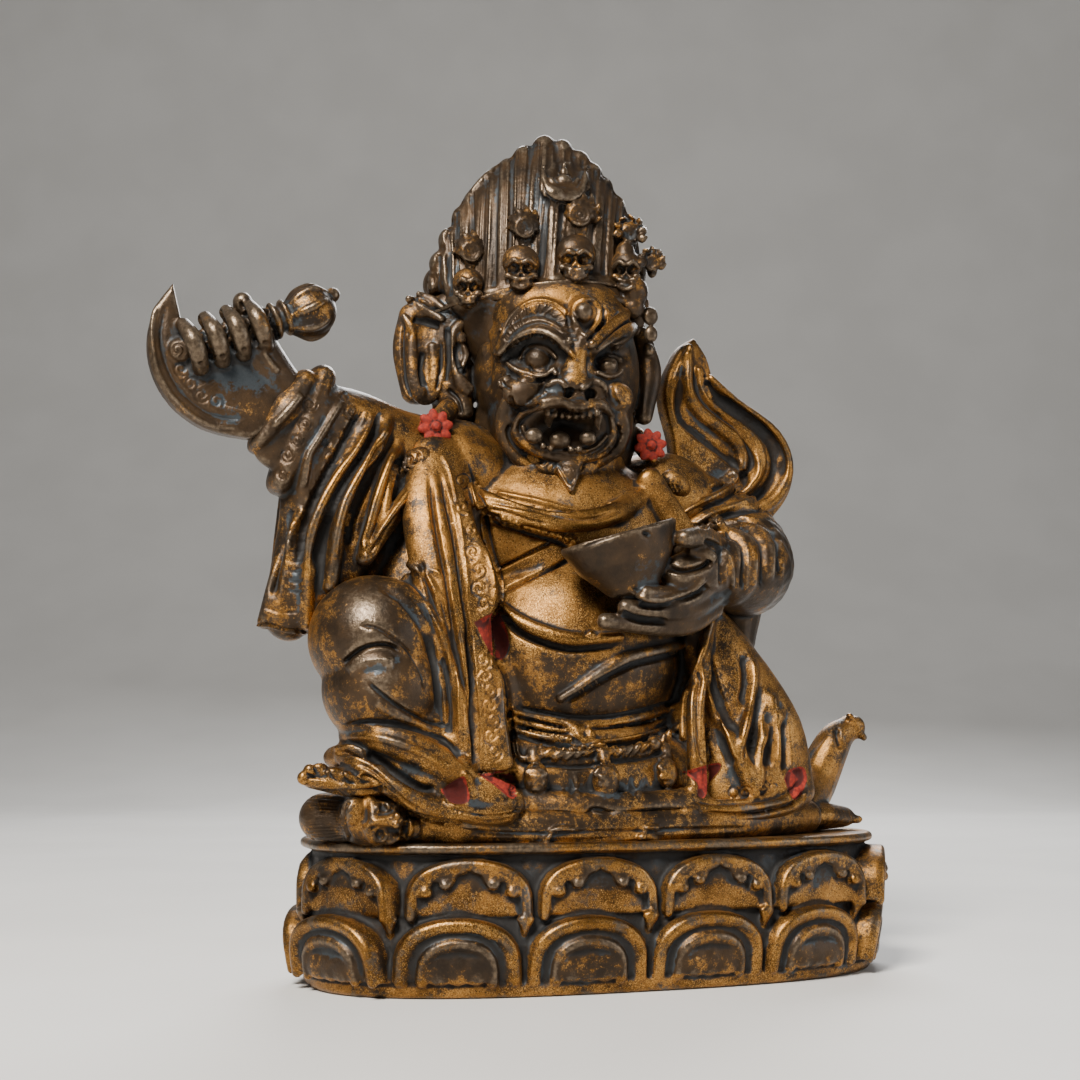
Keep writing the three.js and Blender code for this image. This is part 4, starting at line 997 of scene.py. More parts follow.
for spine, *size in [
    ([(6, -14.6, 3.2), (12.7, -14.8, 3.2), (17.6, -13.8, 3.4), (22, -11.4, 4.2), (24.8, -7, 5.4)], 1.4, 1.2),
    ([(10.8, -10.4, 17.5), (12, -12.4, 12.9), (13.4, -13.6, 9.5), (15, -14, 5.6)], [0.7, 1, 1.2],
      [0.9, 1.2, 1.3]),
    ([(17.4, -8.6, 20.4), (15.8, -12, 15.1), (14.4, -13.2, 12.4), (13.8, -13.8, 8.4)], [0.7, 0.9, 1],
      [0.9, 1.1, 1.2]),
    ([(17, -9.8, 17.6), (16.6, -12.4, 13.6), (16.2, -13.4, 10.4), (15.6, -14, 6.6)], [0.7, 0.8, 0.9],
      [0.9, 1.1, 1.2]),
    ([(19.6, -7.8, 18.6), (20, -10.6, 13), (20.4, -12.2, 9), (21, -12.6, 4.6)], [0.7, 1, 1.2], [0.9, 1.2, 1.3]),
    ([(21.2, -4.6, 21), (22.8, -7.4, 15), (23.8, -9, 9.6), (24.2, -9.2, 5.4)], [0.7, 1, 1.2], [0.9, 1.2, 1.3]),
]:
    body.limb(spine, *size)
body.ball((-4.5, -5.5, 7), (17, 8.8, 7.6), sides=32)
body.limb([(-22, -4.5, 46), (-23, -8.6, 38), (-22.2, -11.4, 30), (-21.6, -12.6, 22), (-20.6, -13.8, 9)],
          [3.4, 4.4, 4.6, 4.2, 3.8], [2.2, 2.4, 2.4, 2.2, 2.0], sides=24)
body.limb([(11, -7.6, 27), (14.6, -8.8, 19), (17, -10, 12), (17.4, -10.4, 5)], [3, 5.4, 7, 7.8],
          [2, 3, 3.4, 3.6], sides=24)
body.limb([(-31, -8, 11.4), (-28, -12.2, 9.4), (-23, -13.6, 6), (-17, -13.8, 4)], [2.6, 3.8, 3.6, 3], 3, sides=24)
body.limb([(-17, -12.5, 4.2), (-8, -14.6, 3.6), (0, -14.8, 3.6), (8, -13.6, 4)], 2, 1.6)

# %% [markdown]
# The robe's borders, the collar, the cords and the belt cross many forms at once. They are
# rolls pressed onto the skinned trunk, so that they follow it without being measured in space.

# %% Borders, collar and what crosses the chest
body.limb(
    [(-21, -2, 47.5), (-22, -7.5, 42), (-20.4, -11.6, 34), (-18.4, -13.6, 28.6), (-18.9, -13.8, 25.6)],
    [1.4, 2, 2.1, 1.7, 0.8], 1.0, face=(-0.3, -1, 0), sides=20,
)
body.limb([(-20.4, -12.6, 26.6), (-18.8, -14.6, 19), (-18.2, -15.2, 13), (-17.9, -15.6, 8.6)],
          [0.7, 1.6, 1.9, 2.2], 0.9, sides=20)
for spine, *size in [
    ([(-25, -3, 44), (-24.4, -10, 34), (-22.2, -13, 26), (-21.2, -14.4, 17), (-20.8, -15, 8.4)],
      [0.9, 1.1, 0.9], 1.2),
    ([(-26.6, -8.8, 30), (-24, -12.4, 24.6), (-22.8, -13.4, 18), (-22.2, -14.4, 9)], [0.8, 1.0, 0.9], 1.2),
    ([(4.5, -7.5, 44), (10, -8.6, 35), (12.2, -9.4, 28)], 1.7, 1.2),
    ([(11.8, -9.2, 27.8), (11, -10, 24.6), (9.4, -11.8, 19.4), (8, -13.2, 15), (7.6, -14.2, 6)],
      [0.8, 0.9, 1.3], 1.1),
    ([(-20, -5, 42), (-15.4, -10.4, 38.8), (-9, -12.2, 37.2), (-2.5, -11.6, 38.2), (4, -7, 42)], 1.3, 1.0),
]:
    body.limb(spine, *size)
body.skin(0.22, 14)
body.rest()
body.again()
body.beads([(489, 515), (505, 519), (530, 527.5), (550, 532.5), (575, 541)], 7.2, (0.46, 0.46, 0.46), 0.15)
body.roll([(500, 604), (517, 620), (542, 632), (573, 639), (620, 637)], [0.5, 0.85, 0.95, 0.85, 0.5], 0.75, 0.2)
body.roll([(561, 698), (579, 688), (597, 676), (618, 663.6), (634, 657), (665, 650), (682, 644)],
          [0.5, 0.8, 0.9, 0.8, 0.6], 0.65, 0.15)
body.press(714, 607, (0.8, 0.8, 1.0), 0.5)
for line, *size in [
    ([(712, 618), (704, 647), (694, 678), (685, 696), (683, 719), (683, 740)], 0.5, 0.5, 0.4),
    ([(513, 711), (541, 718.5), (572, 724), (603, 724), (634, 719), (657, 713), (680, 706)], 0.5, 0.5, 0.3),
    ([(514, 720), (541, 727), (570, 731)], 0.5, 0.5, 0.35),
    ([(514, 729), (541, 736), (568, 739)], 0.5, 0.5, 0.35),
    ([(584, 733), (612, 732), (641, 727), (667, 718), (680, 713)], 0.5, 0.5, 0.35),
    ([(584, 741), (612, 739), (641, 734), (665, 726), (680, 719)], 0.5, 0.5, 0.3),
]:
    body.roll(line, *size)
body.press(576, 731, (1.15, 0.9, 1.0), 0.5)
body.press(590, 735, (0.6, 0.7, 0.9), 0.4)
body.beads([(549, 752), (562, 754), (577, 752), (590, 750)], 9.5, (1.15, 0.6, 0.52), 0.5, -38)
body.press(601, 748, (0.8, 0.7, 0.8), 0.5)
body.beads([(611, 751), (626, 751), (644, 747)], 7.5, (1.0, 0.55, 0.42), 0.45, -38)
body.beads([(663, 739), (671, 733), (679, 726)], 6, (0.85, 0.5, 0.4), 0.4, -38)
body.press(654, 744, (0.95, 0.85, 0.9), 0.6)
body.roll([(568, 725), (574, 732), (580, 737)], [0.6, 0.8, 0.5], 0.6, 0.5)
for u, v, wide, high in [(536, 779, 11.5, 16), (606, 780, 13, 17), (667, 773, 10, 14)]:
    body.roll([(u - 3, v - 26), (u - 1, v - high * 0.7)], 0.8, 0.7, 0.3)
    body.press(u, v, (wide * STEP, 1.3, high * STEP), 0.9)
    body.roll([(u - wide + 2, v - 6), (u - 1, v - high + 1), (u + wide - 2, v - 5)], 0.34, 0.4, 1.6)
    for way in (-1, 1):
        body.press(u + way * 4.2, v - 3, (0.42, 0.34, 0.36), 2.0)
        body.press(u + way * 5, v + 4, (0.5, 0.36, 0.4), 1.8)
    body.roll([(u, v - 3), (u - 0.5, v + 4)], [0.25, 0.42], 0.4, 2.0)
    body.press(u, v + 10, (0.62, 0.36, 0.26), 1.6)
body.roll([(515, 742), (519, 757), (539, 757), (541, 744)], 0.4, 0.4, 0.3)
for u, v, radii in [(304, 778, (0.8, 0.7, 0.8)), (310, 770, (0.75, 0.7, 0.7)), (320, 768, (0.9, 0.6, 0.6)),
                    (334, 772, (1.0, 0.6, 0.55)), (347, 775, (0.9, 0.6, 0.5)), (359, 776, (0.8, 0.5, 0.45))]:
    body.press(u, v, radii, 0.15)
body.skin(0.19, 1)
body.rest()
print("robed body skinned,", len(body.points), "points")

# %% [markdown]
# Now the graver. Cloth edges are a lip with a dark cut beyond it, folds are ridges and grooves
# that fade at their ends, and the embroidered borders carry rows of curls.

# %% Engraving the body
for line, *cut in [
    ([(429, 471), (435, 523), (449, 599), (460, 671), (468, 700), (474, 760)], 0.5, -0.75),
    ([(438, 465), (453, 531), (463, 595), (470, 640), (474, 690)], 0.5, -0.8),
    ([(465, 451), (482, 502), (491, 547), (500, 578), (500, 604), (491, 618)], 0.42, -0.7),
    ([(460, 453), (477, 504), (486, 548), (494, 579), (494, 600), (486, 614)], 0.34, 0.3),
    ([(441, 452), (452, 480), (464, 547), (470, 605)], 0.34, 0.25),
]:
    body.carve(line, *cut)
body.scrolls([(461, 480), (470, 530), (478, 570), (482, 604)], 1.15, 0.26, 7)
for line, *cut in [
    ([(478, 499), (534, 509), (583, 520), (624, 509)], 0.5, -0.35),
    ([(482, 490), (534, 500), (583, 511), (624, 500)], 0.5, 0.3),
    ([(489, 521), (505, 526), (530, 535), (552, 541), (572, 549)], 0.36, -0.6),
    ([(487, 509), (505, 512), (530, 520), (550, 524)], 0.3, -0.4),
    ([(497, 570), (525, 556), (552, 542)], 0.36, -0.75, 0.08),
    ([(503, 591), (534, 576), (573, 558)], 0.38, -0.8, 0.08),
    ([(500, 612), (517, 631), (542, 643), (573, 650), (620, 646)], 0.6, -0.9),
    ([(561, 704), (579, 695), (597, 683), (620, 671), (636, 664), (665, 657), (684, 651)], 0.55, -0.7),
]:
    body.carve(line, *cut)
body.dent(591, 633, (0.55, 0.45), 0.35)
for line, *cut in [
    ([(584, 634), (591, 630), (598, 634), (591, 637), (584, 634)], 0.22, -0.25, 0),
    ([(505, 706), (541, 712), (572, 717), (603, 717), (634, 712), (657, 706), (678, 699)], 0.4, -0.5),
    ([(515, 716), (541, 723), (568, 728)], 0.28, -0.6), ([(515, 725), (541, 732), (568, 736)], 0.28, -0.6),
    ([(513, 735), (549, 744), (572, 748), (610, 746), (641, 740), (668, 730)], 0.4, -0.6),
    ([(590, 728), (612, 727), (641, 723), (672, 713)], 0.28, -0.6),
    ([(592, 737), (612, 736), (641, 731), (672, 722)], 0.28, -0.6),
    ([(516, 766), (547, 765), (578, 767), (612, 762), (645, 758), (672, 748)], 0.5, -0.5),
]:
    body.carve(line, *cut)
for k in range(17):
    u = 551 + k * 8.2
    if min(abs(u - 606), abs(u - 667)) > 12:
        body.carve([(u, 772), (u + 5 * math.sin(k), 785), (u + 3, 800)], 0.5, 0.18 * math.sin(2.4 * k), 0.3)
body.carve(
    [(516, 815), (560, 814), (584, 817), (595, 809), (618, 815), (638, 812), (677, 811), (700, 815)],
    0.5, -0.55, 0.04,
)

# the lower border with its curls, and the folds to its left
body.carve([(466, 622), (470, 667), (474, 721), (474, 771)], 0.42, -0.7)
body.carve([(494, 658), (506, 676), (510, 707), (510, 721), (519, 771)], 0.45, -0.8)
body.carve([(489, 664), (499, 678), (502, 707), (503, 721), (511, 769)], 0.32, 0.28)
body.carve([(472, 640), (476, 667), (481, 721), (481, 769)], 0.32, 0.25)
body.hem([(474, 774), (496, 774), (520, 773)], 0.5, 0.3)
body.scrolls([(482, 660), (489, 690), (492, 720), (493, 752)], 1.15, 0.26, 7)
for line, *cut in [
    ([(380, 578), (409, 590), (432, 614), (446, 646), (457, 685), (460, 721), (464, 767)], 0.75, 0.42),
    ([(437, 590), (450, 635), (453, 660), (456, 700)], 0.55, -0.5),
    ([(415, 566), (441, 575), (451, 600), (460, 640), (466, 685), (469, 739), (471, 765)], 0.6, 0.25),
    ([(440, 650), (447, 680), (450, 710), (448, 740)], 0.9, -0.75),
    ([(420, 560), (428, 590), (444, 630)], 0.5, -0.45), ([(400, 560), (425, 575), (440, 600)], 0.7, 0.4),
    ([(372, 583), (402, 600), (424, 630), (436, 670), (440, 710), (445, 745)], 0.8, -0.5),
    ([(358, 626), (374, 627), (394, 639), (411, 655), (422, 674), (425, 692)], 0.34, -0.42),
    ([(342, 665), (353, 655), (367, 647), (386, 645), (403, 652)], 0.5, -0.75),
    ([(347, 673), (360, 664), (380, 660), (396, 664)], 1.3, 0.55),
    ([(366, 680), (380, 693), (400, 708), (424, 720), (450, 727)], 0.42, -0.5),
    ([(372, 700), (396, 716), (424, 727)], 0.9, 0.3),
    ([(342, 726), (372, 722), (410, 727), (445, 741), (470, 770)], 0.5, -0.5),
    ([(336, 738), (372, 737), (404, 745), (430, 757), (455, 772)], 0.8, 0.4),
    ([(334, 752), (355, 752), (380, 761), (401, 776), (421, 787), (438, 789)], 0.6, -1.0),
    ([(326, 750), (351, 748), (372, 757), (390, 772)], 0.4, 0.4),
    ([(352, 762), (372, 770), (390, 787), (408, 803), (426, 814)], 0.34, -0.5),
    ([(345, 770), (371, 779), (391, 796), (408, 812), (440, 822), (480, 824)], 0.5, -0.7),
]:
    body.carve(line, *cut)
body.hem([(440, 793), (452, 808), (470, 815), (494, 817), (516, 812), (520, 800), (512, 788)], 0.55, 0.4)
body.panel([(443, 789), (462, 778), (466, 800), (452, 801)], -0.35, 0.3)
body.panel([(480, 775), (512, 774), (516, 794), (510, 797), (494, 784)], -0.35, 0.3)
body.carve([(462, 772), (470, 780), (474, 800)], 0.6, 0.4)
body.carve([(476, 776), (494, 786), (508, 800)], 0.45, 0.35)
body.panel([(474, 622), (497, 613), (507, 632), (508, 650), (501, 660), (490, 652)], -0.22, 0.3)
body.carve([(474, 624), (491, 653), (502, 661)], 0.35, -0.4)
for route in [
    [(298, 784), (312, 778), (330, 780)], [(304, 773), (312, 776), (326, 776)], [(314, 765), (318, 773), (330, 777)],
    [(326, 767), (332, 778), (345, 784)], [(340, 770), (346, 781), (358, 784)], [(354, 771), (360, 781), (372, 783)],
]:
    body.carve(route, 0.3, -0.34, 0.2)
body.carve([(300, 790), (330, 793), (365, 792), (388, 788)], 0.5, -0.6)

# the left leg under its long folds
for valley in [
    [(706, 652), (713, 682), (724, 713), (735, 735)], [(714, 700), (722, 735), (733, 768)],
    [(743, 650), (746, 680), (741, 708)], [(760, 682), (758, 713), (751, 742), (745, 768)],
    [(769, 705), (771, 740), (767, 772)], [(782, 715), (785, 745), (786, 778)],
    [(700, 660), (698, 700), (702, 745), (712, 766)],
]:
    body.carve(valley, 0.95, -0.7, 0.2)
for ridge in [
    [(719, 712), (727, 741), (735, 762)], [(751, 652), (754, 682), (747, 724), (739, 753)],
    [(771, 690), (773, 713), (763, 751)], [(780, 705), (779, 740), (777, 770)],
]:
    body.carve(ridge, 0.9, 0.5, 0.2)
body.carve([(690, 800), (720, 803), (765, 799), (792, 790), (803, 780)], 0.4, -0.35)
body.carve([(700, 812), (736, 815), (771, 810), (798, 801), (808, 786)], 0.5, -0.8)
body.carve([(728, 793), (733, 787), (739, 793), (733, 799), (728, 793)], 0.24, -0.25, 0)
body.scrolls([(745, 794), (775, 786)], 0.9, 0.2, 4)
body.panel([(684, 773), (716, 764), (719, 770), (709, 782), (704, 796), (698, 795), (697, 783)], -0.45, 0.3)
body.panel([(786, 779), (790, 771), (802, 768), (806, 779), (800, 793), (793, 798)], -0.45, 0.3)
body.struck()

# %% [markdown]
# Gold is richest on chest and belly, thin on the raised knee, which hands have rubbed bright and
# which carries a painted highlight, and the turned-out linings are painted red. Areas of the
# drawing say where, and one of them puts a painted shadow under the left hand and the cup.

# %% Gilding, red linings, rubbed knee and painted shadow of the body
body.notes["gilt"][:] = 0.6
for outline, *cover in [
    ([(480, 480), (690, 500), (700, 650), (660, 760), (520, 760), (490, 640)], 0.85, 2),
    ([(500, 650), (600, 650), (690, 650), (690, 700), (600, 725), (505, 710)], 0.42, 2),
    ([(505, 725), (600, 740), (690, 715), (700, 815), (510, 815)], 0.45, 1.5),
    ([(430, 450), (470, 440), (505, 600), (480, 700), (515, 770), (470, 780), (440, 600)], 0.72, 1),
    ([(315, 600), (400, 585), (430, 690), (400, 725), (325, 715)], 0.36, 3),
    ([(690, 640), (760, 650), (800, 780), (690, 800)], 0.62, 2),
    ([(330, 730), (440, 740), (480, 800), (400, 800)], 0.6, 1),
]:
    body.paint("gilt", outline, *cover)
# Painted shadow on the chest under the left hand and the cup.
body.paint("soot_and_shade", [(600, 600), (690, 600), (700, 640), (640, 660)], 0.6, 1.5)
# The knee and the fold below it: rubbed metal and a painted highlight.
body.paint("rub_and_sheen", [(345, 590), (375, 590), (385, 625), (355, 640)], 0.85, 2.4)
body.paint("rub_and_sheen", [(350, 655), (395, 655), (400, 680), (365, 690)], 0.7, 1.6)
REDS = [
    [(474, 622), (497, 613), (507, 632), (508, 650), (501, 660), (490, 652)],
    [(440, 790), (461, 777), (466, 780), (469, 801), (452, 803)],
    [(478, 774), (510, 773), (516, 794), (510, 798), (494, 785)],
    [(682, 772), (716, 763), (720, 769), (710, 782), (705, 797), (698, 796), (697, 783)],
    [(784, 779), (789, 770), (803, 767), (807, 779), (801, 794), (793, 799)],
]
for outline in REDS:
    body.paint("red", outline, 1.0, 0.12)
body.cast(190_000, GILT_BRONZE)

# %% [markdown]
# ## The raised right arm
# The sleeve hangs from the wrist in a turned-back cuff with flat embroidered bands and then
# falls in long folds. The folds are rolls of wax, and the graver cuts the valleys between them
# and curls the embroidery.

# %% The right sleeve
sleeve = Casting("right_sleeve")
sleeve.limb([(-18, 1, 44.5), (-26, 0, 46), (-33, -2.5, 48.5), (-39, -4.5, 49.5)], [7, 6, 5.2, 4.2],
            [6.5, 5.5, 4.6, 4.2], sides=24)
sleeve.limb([(-38.8, -5, 53.2), (-41.2, -5.8, 49.4), (-44, -6, 45.6)], [1.6, 2.4, 1.2], [3.4, 4, 2.8])
sleeve.limb([(-36.4, -4, 54), (-38.8, -5, 47.4), (-41.2, -5.2, 41.4)], [1.8, 2.6, 1.6], [3.4, 4.2, 3.2])
sleeve.limb([(-25, 0, 46), (-29, -2, 40), (-34.5, -3.6, 31.5), (-40, -4.4, 25.4)], [6, 8, 6, 2.8],
            [4.4, 4, 3.4, 2.4], sides=24)
sleeve.limb([(-37, -4, 46), (-39.4, -4.6, 36), (-41.2, -4.8, 25.8)], [3.4, 1.8, 1.6], [3.4, 2.8, 2.2])
sleeve.limb([(-20, -1, 38), (-24, -3, 30), (-27, -3.5, 22)], [7, 6, 5], [6, 6, 5], sides=24)
SLEEVE_FOLDS = [
    [(-34.4, -4.6, 52.6), (-36.3, -6.8, 48.2), (-38.4, -7.4, 44.2), (-38.8, -7, 40.4)],
    [(-31, -4, 51), (-31.6, -6.6, 47), (-34.6, -7.9, 41.8), (-37.4, -8, 36), (-38.2, -7.4, 30), (-38, -6.4, 25)],
    [(-28.6, -4, 50.6), (-29.8, -6.8, 46.4), (-33, -8, 41), (-34.8, -8.4, 35.6), (-35.6, -8, 29.2)],
    [(-27, -5, 47), (-28.8, -7.4, 42.6), (-30.4, -8.4, 36.6), (-31.8, -8.6, 32.4)],
    [(-24.8, -6, 42.4), (-27.4, -7.8, 38.8), (-29.8, -8.5, 35.4), (-31.6, -8.8, 32.4)],
    [(-40.2, -4.4, 40.6), (-40.4, -5.6, 34), (-41.8, -5.4, 28), (-42.6, -5, 25)],
]
sleeve.limbs(SLEEVE_FOLDS, [0.8, 1.1, 0.9], [1.0, 1.35, 1.1])
sleeve.limb([(-28, -3.8, 49), (-32.4, -5.8, 41), (-36, -6.2, 33), (-39.4, -5.4, 26)], [6, 6.2, 5.6, 3.4],
            1.7, sides=24)
CUFF_BANDS = [
    [(-37.6, -6.2, 53), (-40, -7.4, 48.4), (-42.6, -6.8, 43.8)],
    [(-35.2, -5.6, 51), (-37.6, -6.9, 46.2), (-39.4, -6.4, 41.6)],
    [(-32.6, -4.4, 51), (-34.4, -6.4, 47), (-36.7, -7.1, 42.2), (-38, -6.8, 37.6)],
]
sleeve.limbs(CUFF_BANDS, [2.2, 2.6, 2.2], 1.1)
for i in range(5):
    sleeve.limb([(-24 - i * 3.6, 3.2 - i * 0.4, 50 + i * 0.2), (-27 - i * 3.2, 3.6 - i * 0.8, 42 - i * 2),
                 (-31 - i * 2.4, 1.6 - i * 0.6, 30 - i)], [0.8, 1.2, 1.0], 1.2)
sleeve.skin(0.2, 16)
for groove in [
    [(366, 404), (352, 428), (340, 450), (326, 474), (314, 500), (303, 530), (300, 570)],
    [(378, 408), (375, 428), (363, 452), (350, 472), (336, 496), (326, 520), (318, 548), (314, 572)],
    [(386, 432), (372, 466), (362, 492), (352, 520), (348, 550)],
    [(403, 452), (392, 478), (382, 506), (374, 530), (364, 552)],
    [(420, 495), (404, 512), (386, 535), (368, 556)],
    [(290, 505), (283, 530), (279, 560), (272, 600)],
]:
    sleeve.carve(groove, 0.85, -0.75, 0.12)
for ridge in [
    [(302, 394), (290, 409), (272, 428)],
    [(343, 399), (331, 418), (320, 436), (309, 454), (305, 474), (303, 490)],
    [(375, 406), (370, 428), (357, 451), (344, 467), (329, 489), (318, 512), (309, 537), (307, 565), (309, 592)],
    [(391, 408), (388, 428), (375, 451), (359, 476), (346, 500), (338, 528), (335, 547), (333, 565)],
    [(398, 445), (385, 475), (375, 504), (370, 525), (361, 553)],
    [(414, 487), (399, 506), (381, 530), (362, 551)],
    [(305, 507), (292, 529), (287, 553)],
]:
    sleeve.carve(ridge, 0.75, 0.42, 0.1)
for u, v, r in [(353, 411, 10), (344, 434, 6), (333, 457, 10), (322, 477, 8), (314, 494, 5), (310, 404, 8),
                (305, 424, 7), (297, 440, 7), (287, 455, 8), (282, 474, 6), (326, 442, 4), (345, 396, 5)]:
    turns = np.linspace(0, 9.6, 17)
    sleeve.carve([(u + r * (1 - a / 13) * math.cos(a), v + r * (1 - a / 13) * math.sin(a)) for a in turns],
                 0.2, -0.24, 0)
sleeve.hem([(256, 625), (268, 625), (286, 630), (308, 633)], 0.4, 0.3)
sleeve.carve([(262, 606), (280, 612), (300, 612)], 0.3, -0.25)
for k in range(9):
    v = 508 + k * 10
    sleeve.carve([(283 + 2 * (k % 2), v), (296, v + 4), (304, v + 1)], 0.22, -0.16, 0.2)
sleeve.carve([(404, 461), (408, 455), (412, 459), (415, 463), (418, 457)], 0.2, -0.25, 0)
sleeve.struck()
sleeve.notes["gilt"][:] = 0.46
sleeve.paint("gilt", [(300, 390), (350, 392), (330, 450), (300, 500), (260, 470), (262, 430)], 0.2, 1.5)
sleeve.paint("gilt", [(375, 400), (430, 405), (420, 480), (360, 560), (340, 500)], 0.62, 1.5)
sleeve.cast(84_000, GILT_BRONZE)

# %% [markdown]
# The hand closes round the handle of a flaying knife whose round blade was cut from sheet wax.
# The handle's two ends give every finger, ring and rib its place.

# %% The right hand and the flaying knife
arm = Casting("right_hand_and_knife")
GRIP_START, GRIP_END = np.array([-53, -8, 55.6]), np.array([-38, -8, 61.8])
grip_run = GRIP_END - GRIP_START
grip_side = np.array([-grip_run[2], 0, grip_run[0]]) / np.linalg.norm(grip_run)


def grip(share, down=0.0, back=0.0):
    """A place along the knife's handle, moved down across it and backwards."""
    return GRIP_START + grip_run * share + grip_side * down + np.array([0, back, 0])


arm.limb([(-39.4, -5, 49), (-42.6, -5.8, 53.4), (-44.6, -6.4, 56.4)], [3.6, 3.1, 2.9], 3.0, sides=20)
arm.ball((-46.3, -6.2, 56.6), (4.6, 2.8, 3.6), (0, -23, 0))
arm.limb([grip(-0.02), grip(0.5), grip(1)], 1.6, 1.6)
arm.limb([(-44.2, -6.4, 58.4), (-46, -7.4, 60.6), (-46.4, -8, 61.8)], [1.5, 1.25, 1.15], 1.25)
for share in (0.06, 0.22, 0.38, 0.54):
    arm.limb([grip(share, -2.7, -0.9), grip(share, -1.4, -2.5), grip(share, 0.6, -2.7), grip(share, 2.5, -0.5)],
             [0.95, 1.05, 1.05, 0.9], 0.95)
for share in (0.62, 0.69, 0.77):
    arm.ball(grip(share), (0.62, 2.1, 2.25), (0, -23, 0))
arm.ball(grip(0.955, -0.3), (3.2, 2.8, 3.0), (0, -30, 0), sides=24)
arm.ball(grip(1.15, 0.8), (1.15, 0.9, 0.9), (0, -40, 0))
for k in range(8):
    turn = k * math.pi / 4
    rib = [grip(share, wide * 2.75 * math.cos(turn) + rise, wide * 2.55 * math.sin(turn))
           for share, wide, rise in [(0.8, 0.62, -0.4), (0.9, 1.0, -0.4), (1.02, 0.98, -0.1), (1.11, 0.45, 0.4)]]
    arm.limb(rib, [0.35, 0.55, 0.5, 0.3], [0.4, 0.5, 0.5, 0.3])
BLADE_MIDDLE = (-46.6, 56.4)
BLADE_RADIUS = 10.4
blade = [(BLADE_MIDDLE[0] + BLADE_RADIUS * math.cos(math.radians(a)),
          BLADE_MIDDLE[1] + BLADE_RADIUS * math.sin(math.radians(a)))
         for a in (138, 158, 180, 202, 224, 246, 268, 284)]
blade += [(-42, 50), (-43, 55), (-48, 55.4), (-52, 54.8), (-53, 58)]
arm.slab(blade, 2.2, Matrix.Translation((0, -6.3, 0)), 0.55)
arm.skin(0.18, 2)
arm.carve([(158, 300), (152, 330), (158, 370), (178, 402), (208, 424), (244, 428)], 0.4, 0.28, 0.1)
arm.carve([(166, 303), (161, 335), (167, 366), (184, 394), (212, 414), (244, 420)], 0.34, -0.3, 0.1)
arm.scrolls([(176, 350), (190, 384), (216, 402)], 1.0, 0.2, 5)
for share in (0.14, 0.3, 0.46, 0.62):
    a, b = grip(share, -2.9, -3), grip(share, 2.9, -3)
    (ua, va), (ub, vb) = drawn(np.array([a, b]))[0]
    arm.carve([(ua, va), ((ua + ub) / 2, (va + vb) / 2), (ub, vb)], 0.34, -0.7, 0.1)
for k in range(4):
    (u, v), _ = [x[0] for x in drawn(np.array([grip(0.06 + 0.16 * k, -2.4, -2.2)]))]
    arm.dent(u, v + 1, (0.5, 0.4), -0.22)
arm.carve([(262, 350), (270, 362), (280, 374)], 0.6, 0.3)
arm.struck()
arm.notes["gilt"][:] = 0.24
arm.paint("gilt", [(262, 310), (330, 285), (334, 320), (280, 345)], 0.55, 1)
# A little wear and painted sheen on the ridges of the hand and knife.
arm.notes["rub_and_sheen"][:] = 0.15
arm.cast(60_000, GILT_BRONZE)

# %% [markdown]
# ## The left arm, the skull cup and the scarf
# The left sleeve wraps the elbow in rolled folds. The hand reaches forward under a cup made
# from a skull's top: a bowl turned on the wheel, pressed oval and tipped.

# %% The left arm and the cup
cup_arm = Casting("left_arm_and_cup")
cup_arm.limb([(9, 2, 42), (18.2, 0, 37.4), (18.6, -5.5, 33.4), (13.5, -10.4, 32.6)], [7, 7, 6.4, 4.8],
             [6.8, 7, 6.4, 4.6], sides=24)
cup_arm.limb([(19, 0, 31), (18.6, -1, 24)], [5, 3], [5, 4], sides=20)
cup_arm.limb([(13, -11.5, 32.6), (8.5, -15, 32), (4.5, -16.4, 31)], [3.2, 3, 2.4], [2.8, 2.6, 2.2])
cup_arm.limb([(11.5, -13, 34.6), (7.6, -17, 35.4), (4, -19, 35)], [1.5, 1.5, 1.1], 1.3)
for i in range(3):
    cup_arm.limb([(12 + i * 3.4, -11.5 + i * 2.4, 38 - i * 0.4), (15.6 + i * 3.6, -9.6 + i * 3, 34.4),
                  (13.5 + i * 3.6, -9.4 + i * 3, 28.8 - i * 0.3)], 0.85, 1, face=(0.5, -1, 0))
    cup_arm.limb([(12 - i * 0.4, -12.5 + i * 0.6, 31.8 - i * 2), (5.5, -16 + i * 0.8, 28.6 - i * 1.7),
                  (-0.6 - i * 2.2, -18.6 + i, 28.4 - i * 1.6)], [1.7, 1.5, 1.0], [1.4, 1.3, 1.0])
    cup_arm.limb([(8 + i * 5, 7.5 - i * 1.4, 44 - i), (14 + i * 3.4, 7.4 - i * 1.8, 36 - i),
                  (17 + i * 1.5, 5 - i, 27)], [0.7, 1.1, 0.9], 1.0)


